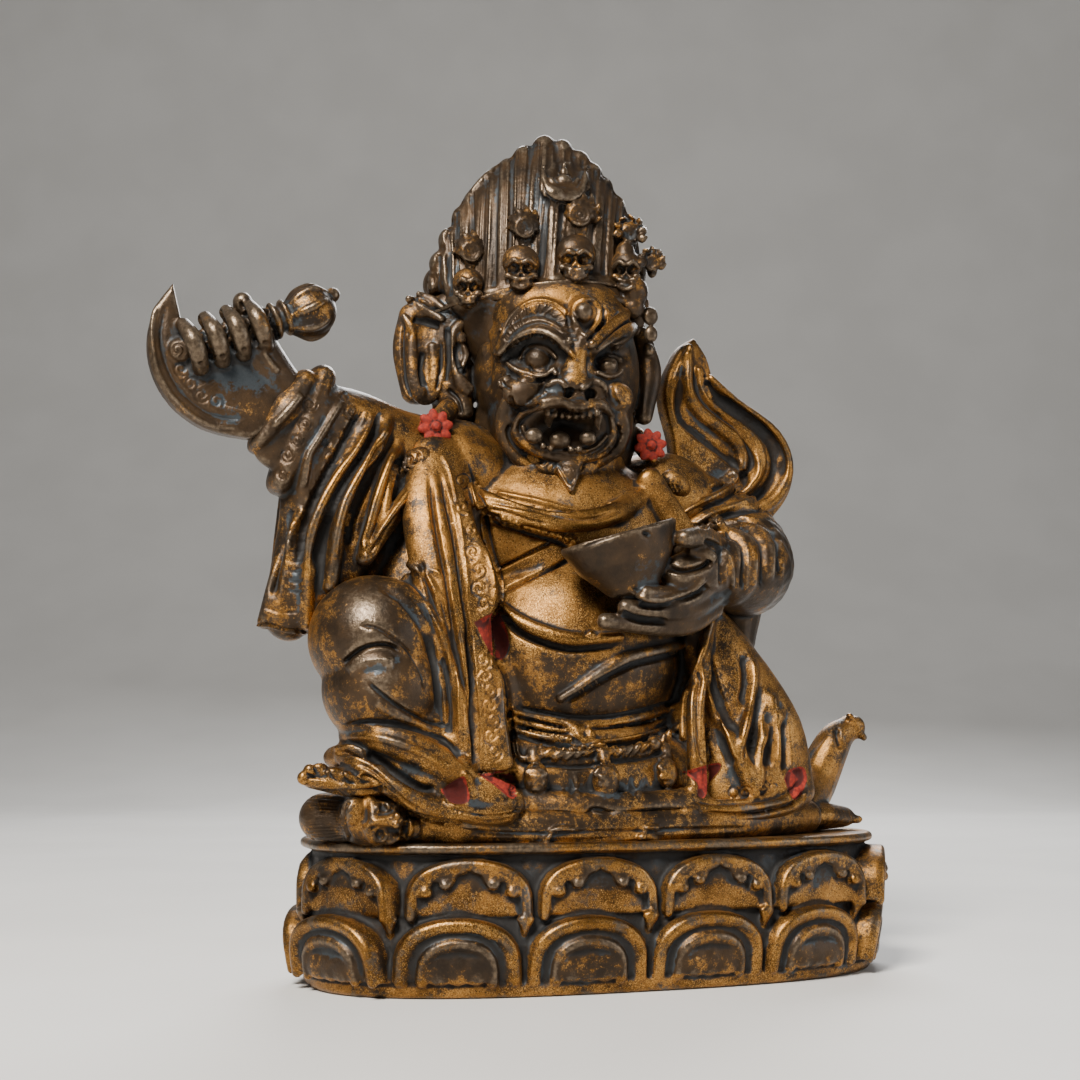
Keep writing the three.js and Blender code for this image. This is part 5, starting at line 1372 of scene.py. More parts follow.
def turned_cup():
    """The bowl: a profile spun round, pressed oval and tipped."""
    RADIUS, DEPTH, WALL, HOLLOW = 7.4, 8.2, 1.1, 3.4
    profile = [(0, -DEPTH), (RADIUS * 0.42, -DEPTH * 0.86), (RADIUS * 0.82, -DEPTH * 0.42), (RADIUS * 0.97, -0.9),
               (RADIUS, -0.3), (RADIUS - 0.35, 0), (RADIUS - WALL, -0.2), (RADIUS - WALL - 0.2, -1.4),
               ((RADIUS - WALL) * 0.7, -HOLLOW * 0.85), (0, -HOLLOW)]
    form = bmesh.new()
    points = [form.verts.new((r, 0, z)) for r, z in profile]
    edges = [form.edges.new(pair) for pair in zip(points, points[1:])]
    bmesh.ops.spin(form, geom=points + edges, cent=(0, 0, 0), axis=(0, 0, 1), dvec=(0, 0, 0),
                   angle=math.tau, steps=48, use_merge=True, use_duplicate=False)
    bmesh.ops.remove_doubles(form, verts=form.verts, dist=0.001)
    press = Matrix.Diagonal((1, 0.66, 1, 1))
    place = Matrix.Translation((-3.3, -16.6, 35.6)) @ Matrix.Rotation(math.radians(-17), 4, "Y") @ press
    bmesh.ops.transform(form, matrix=place, verts=form.verts)
    return form


cup_arm.skin(0.2, 6)
cup_arm.again()
cup_arm.keep(turned_cup())
cup_arm.roll([(662, 561), (680, 551), (700, 552), (712, 558)], [0.7, 0.95, 0.8], 0.8, 0.25)
cup_arm.skin(0.19, 2)
cup_arm.carve([(578, 543), (604, 532), (634, 520), (664, 514)], 0.4, 0.3, 0.08)
cup_arm.carve([(582, 548), (606, 538), (636, 527), (664, 521)], 0.34, -0.25, 0.1)
cup_arm.carve([(667, 568), (684, 571), (700, 568), (712, 562)], 0.6, -0.9, 0.1)
for route in [[(636, 604), (660, 606), (690, 598), (708, 584)], [(620, 612), (640, 620), (668, 622)],
              [(704, 540), (716, 546), (722, 558), (722, 590)], [(722, 532), (739, 540), (745, 556), (742, 596)],
              [(728, 524), (756, 536), (764, 554), (762, 590)], [(730, 518), (766, 526), (779, 546), (780, 578)],
              [(684, 521), (702, 509), (725, 498), (748, 480)], [(700, 528), (724, 516), (752, 509), (776, 508)],
              [(676, 508), (696, 496), (718, 486), (738, 474)]]:
    cup_arm.carve(route, 0.6, -0.75, 0.12)
for route in [[(711, 547), (723, 551), (731, 564), (732, 592)], [(726, 528), (748, 538), (755, 556), (753, 590)],
              [(728, 520), (761, 530), (772, 550), (771, 582)], [(692, 526), (713, 513), (738, 504), (766, 494)],
              [(680, 515), (700, 503), (722, 492), (744, 478)], [(629, 591), (656, 600), (688, 591), (707, 577)]]:
    cup_arm.carve(route, 0.5, 0.42, 0.1)
for u, v in [(632, 588), (617, 596), (603, 605)]:
    cup_arm.dent(u + 3, v + 2, (0.5, 0.4), -0.2)
cup_arm.dent(647, 534, (0.8, 0.5), -0.5, 30)
cup_arm.struck()
cup_arm.notes["gilt"][:] = 0.25
cup_arm.paint("gilt", [(720, 525), (790, 530), (785, 610), (730, 600)], 0.42, 1.5)
cup_arm.paint("gilt", [(650, 470), (760, 450), (800, 510), (770, 528), (690, 530)], 0.62, 2.5)
# A little wear and painted sheen on the ridges of the arm and cup.
cup_arm.notes["rub_and_sheen"][:] = 0.12
cup_arm.cast(74_000, GILT_BRONZE)

# %% [markdown]
# Behind the shoulder a scarf rises to a point. It is sheet wax cut to an outline, with rolled
# folds on both faces, because a hanging cloth would never stand up like this.

# %% The scarf
scarf = Casting("scarf")
SCARF_OUTLINE = [
    (15.2, 65), (17, 62.4), (18, 59.6), (20.7, 57.6), (24.1, 55.7), (27.6, 53.3), (29.6, 49.7), (29.2, 45.2),
    (26.6, 41.4), (22, 38), (14, 39), (12.4, 46), (11.8, 51), (10.6, 55.6), (10.8, 58.6), (12, 61.6), (13.4, 63.8),
]
scarf.slab(SCARF_OUTLINE, 3.0, Matrix.Translation((0, 4.1, 0)), 0.7)
SCARF_FOLDS = [
    [
        (14, 63.4), (13.4, 58.6), (14.6, 55.4), (17.4, 53.2), (20.4, 51.2),
        (21.6, 48.6), (20, 46), (16.6, 43.8), (13, 41.2),
    ],
    [(15.4, 60.4), (16.8, 56.4), (20.6, 53.6), (23.8, 50.8), (24, 47.2), (20.6, 44), (14, 41)],
    [(17, 59.4), (21, 56.2), (26, 53), (28.2, 49.4), (27.8, 45.6), (24.6, 42.4), (17, 40)],
]
for route in SCARF_FOLDS:
    scarf.limb([(x, 1.1, z) for x, z in route], [0.6, 0.9, 0.95, 1.0], 1.15)
    scarf.limb([(x * 0.98 + 0.2, 4.0, z) for x, z in route], [0.5, 0.8, 0.9], 0.8)
scarf.skin(0.2, 14)
for route in [[(685, 372), (678, 398), (682, 420), (704, 440), (724, 456), (740, 470), (744, 485), (726, 500)],
              [(700, 356), (706, 385), (724, 405), (752, 424), (770, 444), (774, 470), (758, 495), (720, 514)],
              [(712, 392), (740, 410), (764, 428), (782, 456), (780, 482)],
              [(705, 500), (722, 486), (736, 474)]]:
    scarf.carve(route, 0.75, -0.55, 0.15)
for route in [[(694, 348), (690, 380), (697, 402), (716, 420), (742, 438), (757, 458), (757, 478), (736, 500)],
              [(690, 350), (680, 364), (673, 384)]]:
    scarf.carve(route, 0.6, 0.3, 0.12)
scarf.struck()
scarf.notes["gilt"][:] = 0.66
scarf.paint("gilt", [(680, 440), (735, 455), (745, 480), (700, 505), (670, 490)], 0.45, 1.5)
scarf.cast(44_000, GILT_BRONZE)

# %% [markdown]
# ## The head
# The face is built in three stages, as a carver would: brows, cheeks, nose and lip pads are
# laid on the plain head and blended by a skin, then the sockets and the mouth are sunk into
# them, and last the eyeballs, lids, lips and teeth are laid in under a finer skin.

# %% The plain head and its soft masses
HEAD_PLACE = Matrix.Translation((-4.3, -1, 55.7)) @ Matrix.Rotation(math.radians(-12), 4, "Z")
head = Casting("head", HEAD_PLACE)
head.ball((-1.0, 0, 2), (10.6, 11, 12.4), sides=40)
head.ball((-0.8, -1.6, -4.2), (9.3, 9.5, 7.8), sides=40)
head.ball((-1.2, -3.2, 8.6), (8.8, 6.6, 5.8), sides=32)
head.ball((-1.2, 1.6, -5.4), (10.8, 7.4, 8.8), sides=32)
head.limb([(-12.4, 1, 8), (-13.8, 0.2, 3), (-12.8, -0.6, -3)], [1.4, 1.8, 1.2], [1.4, 1.6, 1.2])
head.limb([(10.4, 1.4, 8), (11.3, 1, 3), (10.4, 0.2, -3)], [1.2, 1.6, 1.1], [1.2, 1.4, 1.1])
head.limb([(-16.6, 1.6, 10.4), (-17.6, 1.4, 5), (-17, 1.2, 0.6)], [3.2, 3.8, 3], 2.2, sides=20)
head.limb([(9.6, 5.4, 10), (10.2, 5.4, 4.6), (9.8, 5.4, -0.4)], [2, 2.2, 1.8], 2.2, sides=20)
head.limb([(-19.2, 0.6, 9.6), (-19.6, 0.5, 5), (-18.6, 0.4, -0.6)], [2.0, 2.4, 2.2], 1.5, sides=20)
head.limb([(-14.4, 0.4, 11), (-14.8, 0.4, 5), (-14.4, 0.6, -1)], [2.4, 2.8, 2.4], 1.7, sides=20)
head.limb([(-13.6, 1.6, 2), (-14.4, 1.6, -5), (-13.4, 1, -10)], [2.6, 2.6, 2.2], 2.0, sides=20)
head.settle()
for line, *size in [
    ([(499, 352), (510, 341), (523, 332), (538, 328), (552, 333), (564, 342), (574, 353)],
      [0.8, 1.3, 1.5, 1.5, 1.4, 1.1, 0.7], 1.1, 0.55),
    ([(503, 341), (513, 324), (528, 311), (544, 308), (558, 315), (569, 329), (574, 342)],
      [0.7, 1.1, 1.3, 1.3, 1.2, 0.8], 0.75, 0.2),
    ([(590, 350), (601, 335), (614, 321), (626, 313)], [0.9, 1.2, 1.2, 0.9], 0.9, 0.4),
    ([(597, 354), (611, 342), (625, 331), (635, 326)], [0.9, 1.3, 1.2, 0.9], 1.2, 0.5),
    ([(581, 342), (577, 355), (574, 368), (573, 382)], [1.1, 1.2, 1.5, 1.9], 1.3, 0.5),
]:
    head.roll(line, *size)
for u, v, *size in [
    (574, 383, (2.0, 1.5, 1.5), 1.0), (557, 391, (1.6, 1.2, 1.35), 0.7), (598, 390, (1.4, 1.1, 1.3), 0.6),
    (526, 394, (3.0, 1.9, 2.1), 0.5), (514, 384, (2.2, 1.0, 1.2), 0.25), (618, 398, (2.0, 1.6, 1.9), 0.3),
    (571, 404, (5.2, 1.4, 1.4), 0.35), (584, 314, (2.2, 1.0, 2.4), 0.2),
]:
    head.press(u, v, *size)
head.roll([(507, 402), (503, 420), (507, 440), (523, 460), (546, 470)], [0.8, 1.1, 1.2, 1.0], 0.8, 0.2)
head.roll([(621, 412), (622, 430), (614, 449), (598, 464)], [0.8, 1.1, 1.1, 0.8], 0.8, 0.2)
head.press(567, 468, (4.2, 1.6, 1.6), 0.2)
head.press(570, 474, (1.9, 1.6, 1.4), 0.6)
head.skin(0.22, 6)
for u, v, *cut in [
    (535, 355, (4.6, 2.2), -2.0, 6), (537, 360, (2.6, 2.2), -0.7), (610, 358, (3.2, 1.9), -1.5, -20),
    (608, 366, (1.9, 1.8), -0.5), (565, 430, (5.6, 3.1), -3.0, 2), (566, 428, (4.6, 2.4), -1.0, 2),
]:
    head.dent(u, v, *cut)
head.carve([(545, 384), (541, 396), (529, 406)], 0.8, -0.5)
head.carve([(609, 386), (612, 397), (620, 408)], 0.7, -0.45)
head.carve([(581, 300), (572, 309), (569, 322), (573, 336)], 0.5, -0.45)
head.carve([(604, 306), (603, 318), (596, 331)], 0.5, -0.4)
head.struck()
print("plain head,", len(head.points), "points")

# %% [markdown]
# Eyeballs, lids, lips, fangs, teeth and beard are small balls and rolls laid into the sunk
# places. They get a finer skin of their own, or they would melt into the cheeks.

# %% Features laid into the hollows
head.again()
head.press(538, 360, (1.65, 1.5, 1.65), 1.0)
head.press(608, 366, (1.25, 1.1, 1.2), 0.8)
for line, *size in [
    ([(500, 353), (510, 343.5), (523, 335), (538, 331.5), (552, 336), (564, 345), (573, 356)],
      [0.4, 0.55, 0.62, 0.65, 0.55, 0.4], 0.55, 0.15),
    ([(520, 359), (526, 350), (537, 346), (548, 349), (556, 358)], [0.25, 0.4, 0.42, 0.4, 0.25], 0.4, 0.2),
    ([(508, 364), (516, 370), (528, 374.5), (544, 375), (554, 369)], [0.25, 0.42, 0.5, 0.45, 0.3], 0.5, 0.25),
    ([(596, 363), (603, 357), (612, 356), (621, 360)], 0.32, 0.35, 0.2),
    ([(598, 373), (607, 376.5), (616, 375), (622, 370)], 0.35, 0.4, 0.2),
]:
    head.roll(line, *size)
ring = [(583, 300), (592, 300), (599, 308), (599, 319), (593, 329), (585, 336.5), (578, 328), (573, 317), (575, 305)]
head.roll(ring, 0.36, 0.42, 0.2, closed=True)
for u, v, *size in [
    (584, 312, (1.15, 1.0, 1.25), 0.25), (556, 373.5, 0.42, 0.4), (569, 341, 0.5, 0.45),
    (592, 344.5, 0.68, 0.5), (501, 330, 0.35, 0.3),
]:
    head.press(u, v, *size)
for line, *size in [
    ([(545, 394), (549, 385), (560, 382), (567, 388)], [0.3, 0.5, 0.4], 0.4, 0.2),
    ([(583, 388), (592, 382), (603, 385), (606, 393)], [0.4, 0.5, 0.3], 0.4, 0.2),
    ([(518, 419), (527, 410.5), (540, 405), (551, 402), (563, 402), (573, 407), (583, 407), (592, 404),
      (604, 407), (613, 417)], [0.35, 0.6, 0.75, 0.75, 0.6, 0.6, 0.7, 0.7, 0.35], 0.65, 0.3),
    ([(518, 419), (515, 428), (520, 439), (536, 451), (560, 457.5), (584, 457.6), (601, 452), (611, 441),
      (613, 428), (610, 415)], [0.35, 0.55, 0.65, 0.7, 0.75, 0.75, 0.65, 0.55, 0.35], 0.7, 0.3),
    ([(523, 427), (527, 437), (541, 447), (562, 452), (583, 451.5), (597, 446), (606, 436)], 0.28, 0.35, 0.2),
]:
    head.roll(line, *size)
for u, v in [(548, 413), (555, 414), (562, 415), (569, 416), (576, 416), (583, 415.5), (590, 414.5), (597, 413)]:
    head.press(u, v, (0.42, 0.5, 0.55), 1.7)
for u, v, high in [(549, 416, 11), (598, 416, 13)]:
    head.roll([(u, v), (u - 0.5, v + high * 0.5), (u + 0.5, v + high)], [0.6, 0.5, 0.15], 0.5, 1.6)
for u, v, a, b in [(534, 436, 1.15, 1.0), (560, 440, 1.35, 1.1), (588, 438, 1.1, 0.95)]:
    head.press(u, v, (a, 0.9, b), 1.1)
for u, v in [(543, 446), (551, 448), (571, 449.5), (579, 449)]:
    head.press(u, v, (0.4, 0.4, 0.45), 0.9)

# the beard hangs from the chin in front of the collar
BEARD = [(568, 459), (569, 472), (571, 490)]
chin = drawn(np.array([head.onto(*BEARD[0])]))[1][0]
collar = drawn(np.array([body.onto(*BEARD[2])]))[1][0]
tip = min(chin + 0.6, collar - 0.5)
rays = [np.array(sight(u, v)) for u, v in BEARD]
spine = [eye + ray * far / (ray @ ahead) for ray, far in zip(rays, (chin + 0.5, (chin + tip) / 2, tip))]
head.limb(spine, [2.1, 1.5, 0.35], [1.0, 0.8, 0.4], face=-ahead, placed=True)
print("the beard hangs", round(float(collar - tip), 2), "mm clear of the collar")

head.roll([(453, 364), (452, 340), (458, 327), (468, 324), (477, 334), (479, 350)],
          [0.4, 0.6, 0.75, 0.75, 0.7, 0.4], 0.6, 0.2)
head.press(461, 338, (0.75, 0.6, 0.8), 0.25)
head.roll([(464, 347), (466, 357), (463, 366)], [0.35, 0.5, 0.35], 0.4, 0.15)
head.roll([(454, 366), (461, 383), (468, 391)], [0.5, 0.9, 1.0], 0.6, 0.1)
head.press(650, 316, (1.1, 0.7, 1.2), 0.1)
head.press(651, 334, (0.9, 0.6, 1.1), 0.1)
head.press(649, 350, (0.7, 0.6, 0.9), 0.1)
head.roll([(409, 299), (423, 308), (441, 319)], [0.5, 1.0, 0.5], 0.5, 0.15)
head.roll([(419, 294), (432, 301), (443, 308)], [0.4, 0.75, 0.4], 0.45, 0.15)
head.roll([(404, 316), (409, 324), (414, 334)], [0.35, 0.65, 0.35], 0.4, 0.1)
head.roll([(412, 338), (412, 366), (416, 388), (424, 398), (433, 392), (435, 372), (432, 346)],
          [0.6, 0.9, 1.0, 0.9, 0.6], 0.42, 0.05)
head.skin(0.16, 1)
print("head with its features,", len(head.points), "points")

# %% [markdown]
# The graver cuts what is finer than the wax: hairs of brows and beard, creases of the lids,
# nostrils, gaps between teeth, and the grooves of the ear and the ribbons.

# %% Engraving the face
bow = curve([(505, 343), (514, 326), (529, 312), (544, 309), (557, 316), (567, 329), (572, 341)], 44)
for k in range(30):
    i = int(1 + k / 29 * 41)
    run = bow[i + 1] - bow[i]
    out = np.array([run[1], -run[0]]) / np.linalg.norm(run)
    tilt = run / np.linalg.norm(run) * 3.2
    head.carve([bow[i] - out * 6 - tilt, bow[i], bow[i] + out * 7 + tilt], 0.15, -0.16, 0.15)
head.carve([(499, 343), (509, 322), (526, 305), (545, 302), (562, 310), (573, 326)], 0.28, -0.28)
head.carve([(503, 348), (512, 336), (525, 326), (540, 322), (555, 327), (566, 337)], 0.26, -0.3)
head.carve([(506, 353), (514, 345), (526, 339), (538, 337), (550, 341), (561, 350)], 0.5, -0.5)
for route in [[(585, 345), (597, 330), (611, 316), (622, 309)], [(593, 351), (606, 338), (620, 326), (632, 319)],
              [(603, 352), (616, 342), (630, 334)]]:
    head.carve(route, 0.3, -0.4)
head.dent(569, 392.5, (1.0, 0.7), -1.1, -10)
head.dent(591, 394, (0.9, 0.7), -1.0, 10)
for line, *cut in [
    ([(560, 398), (570, 399), (581, 397), (592, 399), (603, 398)], 0.4, -0.35),
    ([(528, 364), (534, 372), (543, 372), (550, 366)], 0.3, -0.35),
    ([(600, 361), (608, 359.5), (616, 362)], 0.22, -0.25),
    ([(506, 372), (520, 379), (538, 381), (552, 380)], 0.35, -0.4),
    ([(509, 394), (514, 407), (528, 409), (543, 402)], 0.5, -0.45),
    ([(499, 372), (503, 384), (512, 390)], 0.35, -0.3),
]:
    head.carve(line, *cut)
for k in range(7):
    head.carve([(551.5 + 7 * k, 410), (551.5 + 7 * k, 419)], 0.15, -0.25, 0)
for k in range(11):
    u = 557 + k * 2.8
    head.carve([(u, 463), (u + (571 - u) * 0.4, 474), (571 + (u - 571) * 0.15, 486)], 0.2, -0.3, 0.2)
for k in range(9):
    (u, v), (a, b) = curve([(524, 448), (540, 458), (562, 463)], 10)[k : k + 2]
    head.carve([(u, v), (u - 5, v + 7)], 0.18, -0.14, 0.2)
head.carve([(513, 422), (508, 432), (514, 446), (530, 458), (548, 464)], 0.4, -0.4)
head.carve([(617, 424), (619, 436), (611, 449), (597, 458)], 0.4, -0.4)
for u, v in [(614, 424), (616, 432), (614, 441), (608, 449)]:
    head.dent(u + 5, v, (0.4, 0.3), 0.25)
head.carve([(484, 330), (488, 360), (486, 392)], 0.7, -0.5)
for route, wide, deep in [
    ([(447, 326), (448, 352), (446, 384)], 0.5, 0.5), ([(404, 322), (403, 350), (405, 380), (412, 400)], 0.34, 0.4),
    ([(423, 350), (421, 370), (424, 388)], 0.5, 0.6), ([(413, 297), (427, 305), (441, 312)], 0.3, 0.5),
    ([(413, 318), (424, 322), (440, 326)], 0.7, 0.6), ([(441, 340), (441, 370), (436, 392)], 0.4, 0.45),
    ([(470, 332), (474, 346), (470, 362), (463, 376)], 0.4, 0.5), ([(455, 345), (457, 360), (462, 374)], 0.34, 0.45),
    ([(447, 388), (458, 400), (462, 415)], 0.4, 0.5),
]:
    head.carve(route, wide, -deep, 0.12)
head.struck()
head.notes["gilt"][:] = 0.24
for outline, *cover in [
    ([(528, 292), (565, 286), (588, 296), (574, 310), (566, 318), (545, 303), (520, 306)], 0.85, 0.8),
    ([(596, 290), (622, 292), (637, 318), (630, 332), (600, 345), (590, 340)], 0.72, 0.8),
    ([(566, 350), (590, 352), (592, 372), (580, 384), (566, 374)], 0.75, 0.8),
    ([(606, 380), (626, 380), (632, 400), (616, 404)], 0.45, 0.8),
    ([(510, 425), (556, 462), (610, 446), (604, 462), (575, 492), (520, 466)], 0.55, 0.8),
    ([(554, 461), (590, 461), (580, 478), (571, 494), (562, 478)], 0.3, 0.5),
    ([(488, 300), (505, 300), (500, 340), (490, 400), (486, 340)], 0.5, 1),
    ([(395, 300), (450, 300), (450, 400), (400, 402)], 0.42, 1),
]:
    head.paint("gilt", outline, *cover)
# Painted shade inside the open mouth, and painted shadow under the brows over the eyes.
head.paint("soot_and_shade", [(520, 418), (545, 408), (608, 410), (604, 440), (565, 450), (530, 440)], 0.35, 0.6)
head.paint("soot_and_shade", [(504, 352), (538, 338), (568, 352), (556, 362), (516, 364)], 0.4, 0.6)
head.cast(140_000, GILT_BRONZE)

# %% [markdown]
# ## The hair
# The hair stands up in locks: ribs of wax laid from the nape to the crown behind, a row of
# larger locks in front, and then the graver combs them. A crescent with a jewel lies on them,
# and the comb's lines stop round it. Strands of real hair would never cast.

# %% The hair
hair = Casting("hair", HEAD_PLACE)
HAIR_MIDDLE, HAIR_SIZE = np.array([-2.7, 0.8, 15.0]), np.array([12.2, 7.8, 16.6])
hair.ball(HAIR_MIDDLE, HAIR_SIZE, sides=48)
for k in range(30):
    around = math.tau * (k + 0.5) / 30
    rib = []
    for fall in (104, 84, 62, 40, 20):
        a = math.radians(fall)
        spot = np.array([math.sin(a) * math.sin(around), -math.sin(a) * math.cos(around), math.cos(a)])
        rib.append(HAIR_MIDDLE + spot * HAIR_SIZE)
    out = (math.sin(around), -math.cos(around), 0.3)
    if math.cos(around) < 0.3:
        hair.limb(rib, [1.0, 1.15, 1.0, 0.7, 0.35], [0.7, 0.75, 0.75, 0.6, 0.4], face=out, sides=10)
TIPS = [(-16.2, 14.6), (-15.2, 19.6), (-12.8, 24.2), (-9.8, 27.8), (-6.4, 31), (-2.6, 33.6), (1, 32.4), (3.8, 29.9),
        (6.1, 26.6), (7.8, 22.6), (9, 17.8)]
for i, (x, z) in enumerate(curve(TIPS, 17)):
    wide = (1.75, 2.1, 1.9)[i % 3]
    back = abs(x - HAIR_MIDDLE[0]) * 0.32
    hair.limb([(x * 0.82, -6.2 + back, 11), (x * 0.96, -4.2 + back, (z + 14) / 2), (x, 0.2, z - wide * 0.75)],
              [wide, wide, wide * 0.85], [2.2, 2.5, 2.0], sides=20)
    if i % 3 == 1:
        spine = [(x * 0.7, 7.6, 6), (x * 0.85, 6.6, (z + 8) / 2), (x, 2.6, z - 3.4)]
        hair.limb(spine, [4, 3.8, 2.6], [3, 3, 2.4], sides=20)
hair.skin(0.22, 9)
hair.again()
hair.roll([(543, 172), (545, 186), (553, 195), (564, 198), (576, 196), (584, 187), (586, 172)],
          [0.25, 0.8, 1.15, 1.3, 1.15, 0.8, 0.25], 0.9, 0.35)
hair.roll([(551, 180), (556, 187), (572, 187), (578, 180)], [0.3, 0.6, 0.3], 0.6, 0.5)
hair.press(564, 182, (1.1, 0.8, 1.0), 0.6)
hair.press(564, 173, (0.55, 0.5, 0.8), 0.6)
hair.press(564, 166, (0.3, 0.35, 0.55), 0.5)
hair.skin(0.18, 1)
LINES = 121
foot = curve([(432, 306), (452, 298), (484, 292), (525, 282), (575, 276), (615, 280), (642, 296)], LINES)
top = curve([(428, 280), (440, 246), (456, 206), (482, 176), (502, 156), (534, 138), (566, 144), (592, 160), (614, 182),
             (628, 212), (640, 248)], LINES)
rng = np.random.default_rng(7)
for k in range(LINES):
    low, high = foot[k], top[k]
    sway = 1.4 * math.sin(k * 0.5) + rng.uniform(-0.5, 0.5)
    middle = (low + high) / 2 + (sway, 0)
    lock = k % 7 == 3
    depth = -0.38 if lock else -0.12 - 0.12 * rng.random()
    hair.carve([low, middle, high + (0, 1)], 0.46 if lock else 0.24, depth, 0.05)
hair.shift *= 1 - hair.area([(541, 172), (543, 190), (553, 201), (576, 202), (587, 190), (588, 172), (564, 160)], 0.3)
hair.carve([(541, 178), (544, 192), (553, 201), (564, 203), (577, 202), (587, 192), (589, 178)], 0.34, -0.45, 0.1)
hair.struck()
hair.notes["gilt"][:] = 0.16
# Wear and a painted sheen on the ridges of the hair.
hair.notes["rub_and_sheen"][:] = 0.3
hair.cast(96_000, GILT_BRONZE)

# %% [markdown]
# ## The diadem
# The diadem rests on brow and hair. Its skulls are built like the face: round heads first,
# then the eye holes, then brows, teeth and the flames round each jewel.

# %% The diadem
crown = Casting("skull_crown", HEAD_PLACE)
crown.settle(head, hair)
SKULLS = [(468, 287, 0.92), (521, 268, 1.12), (576, 259, 1.2), (626, 270, 0.95)]
JEWELS = [(471.7, 252, 1.05), (525, 228, 1.05), (580, 215, 1.2), (630, 235, 0.95), (652, 263, 0.75)]
for u, v, size in SKULLS:
    crown.press(u, v - 5 * size, (2.15 * size, 2.0, 1.95 * size), 0.9)
    crown.press(u, v + 6 * size, (1.6 * size, 1.6, 1.5 * size), 1.0)
    crown.press(u, v + 13 * size, (1.35 * size, 1.4, 1.0 * size), 0.9)
for u, v, size in JEWELS:
    crown.press(u, v, (1.5 * size, 0.9, 1.5 * size), 0.4)
    crown.press(u, v - 8 * size, (1.7 * size, 0.7, 1.3 * size), 0.1)
    crown.press(u, v + 10 * size, (0.9 * size, 0.7, 1.4 * size), 0.1)
for angle in (62, 95, 140, 180, 220, 265):
    a = math.radians(angle)
    spots = [(-1.2 + 10.6 * math.sin(a), -10.2 * math.cos(a), z) for z in (12.0, 10.0)]
    crown.ball(spots[0], (1.9, 1.9, 2.0), (0, 0, angle))
    crown.ball(spots[1], (1.4, 1.4, 1.5), (0, 0, angle))
    crown.ball((-1.6 + 10 * math.sin(a), -9.2 * math.cos(a), 16.8), (1.5, 1.3, 2.0), (0, 0, angle))
band = bmesh.new()
ring = Matrix.Translation((10.7, 0, 0)) @ Matrix.Rotation(math.pi / 2, 4, "X")
bmesh.ops.create_circle(band, segments=12, radius=0.5, matrix=ring)
bmesh.ops.spin(band, geom=band.verts[:] + band.edges[:], cent=(0, 0, 0), axis=(0, 0, 1),
               dvec=(0, 0, 0), angle=math.tau, steps=64, use_merge=True, use_duplicate=False)
press = Matrix.Translation((-1.2, 0, 10.6)) @ Matrix.Diagonal((1.06, 0.72, 1.2, 1))
bmesh.ops.transform(band, matrix=press, verts=band.verts)
crown.keep(band)
crown.roll(
    [(436, 312), (456, 304), (484, 297), (510, 289), (548, 283), (590, 282), (618, 287), (642, 300)],
    0.32, 0.3, 0.0,
)
crown.skin(0.18, 2)
for u, v, size in SKULLS:
    for way in (-1, 1):
        crown.dent(u + way * 7 * size, v, (1.0 * size, 0.9 * size), -1.3)
    crown.dent(u, v + 7 * size, (0.45, 0.6), -0.7)
    crown.dent(u, v + 13.5 * size, (1.3 * size, 0.55), -0.6)
for u, v, size in JEWELS:
    crown.dent(u, v, (1.1 * size, 1.1 * size), -0.4)
crown.struck()
crown.again()
for u, v, size in SKULLS:
    for way in (-1, 1):
        crown.press(u + way * 7 * size, v + 0.5, 0.45 * size, 0.1)
        brow = [(u + way * 2.5 * size, v - 6), (u + way * 7 * size, v - 8), (u + way * 12.5 * size, v - 3)]
        crown.roll(brow, 0.34, 0.4, 0.25)
        crown.press(u + way * 11 * size, v + 7 * size, (0.6, 0.5, 0.45), 0.3)
    crown.roll([(u - 8 * size, v + 9.5), (u, v + 11.5), (u + 8 * size, v + 9.5)], 0.32, 0.4, 0.2)
    crown.roll([(u - 7 * size, v + 16.5), (u, v + 19.5), (u + 7 * size, v + 16.5)], 0.34, 0.4, 0.2)
    for k in range(5):
        crown.press(u + (k - 2) * 2.9 * size, v + 14 + 0.4 * (2 - abs(k - 2)), (0.22, 0.35, 0.38), 0.35)
for u, v, size in JEWELS:
    crown.roll(circle(u, v, 8 * size), 0.34, 0.42, 0.3, closed=True)
    crown.roll(circle(u, v, 4.4 * size), 0.24, 0.32, 0.3, closed=True)
    crown.press(u, v, (0.36 * size, 0.4, 0.36), 0.35)
    for k in range(7):
        a = math.radians(-185 + 31.5 * k)
        near = (u + 8.5 * size * math.cos(a), v + 8.5 * size * math.sin(a))
        bent = (u + 13.5 * size * math.cos(a + 0.2), v + 14 * size * math.sin(a + 0.2))
        tip = (u + 17.5 * size * math.cos(a + 0.05), v + 20 * size * math.sin(a + 0.05))
        crown.roll([near, bent, tip], [0.5, 0.62, 0.2], 0.5, 0.2)
crown.skin(0.14, 1)
crown.notes["gilt"][:] = 0.34
crown.cast(80_000, GILT_BRONZE)

# %% [markdown]
# ## The ear flowers
# A little painted flower hangs at each ear with a carved leaf end below it. Petals are pressed
# balls set in a ring, and the red covers only what stands forward.

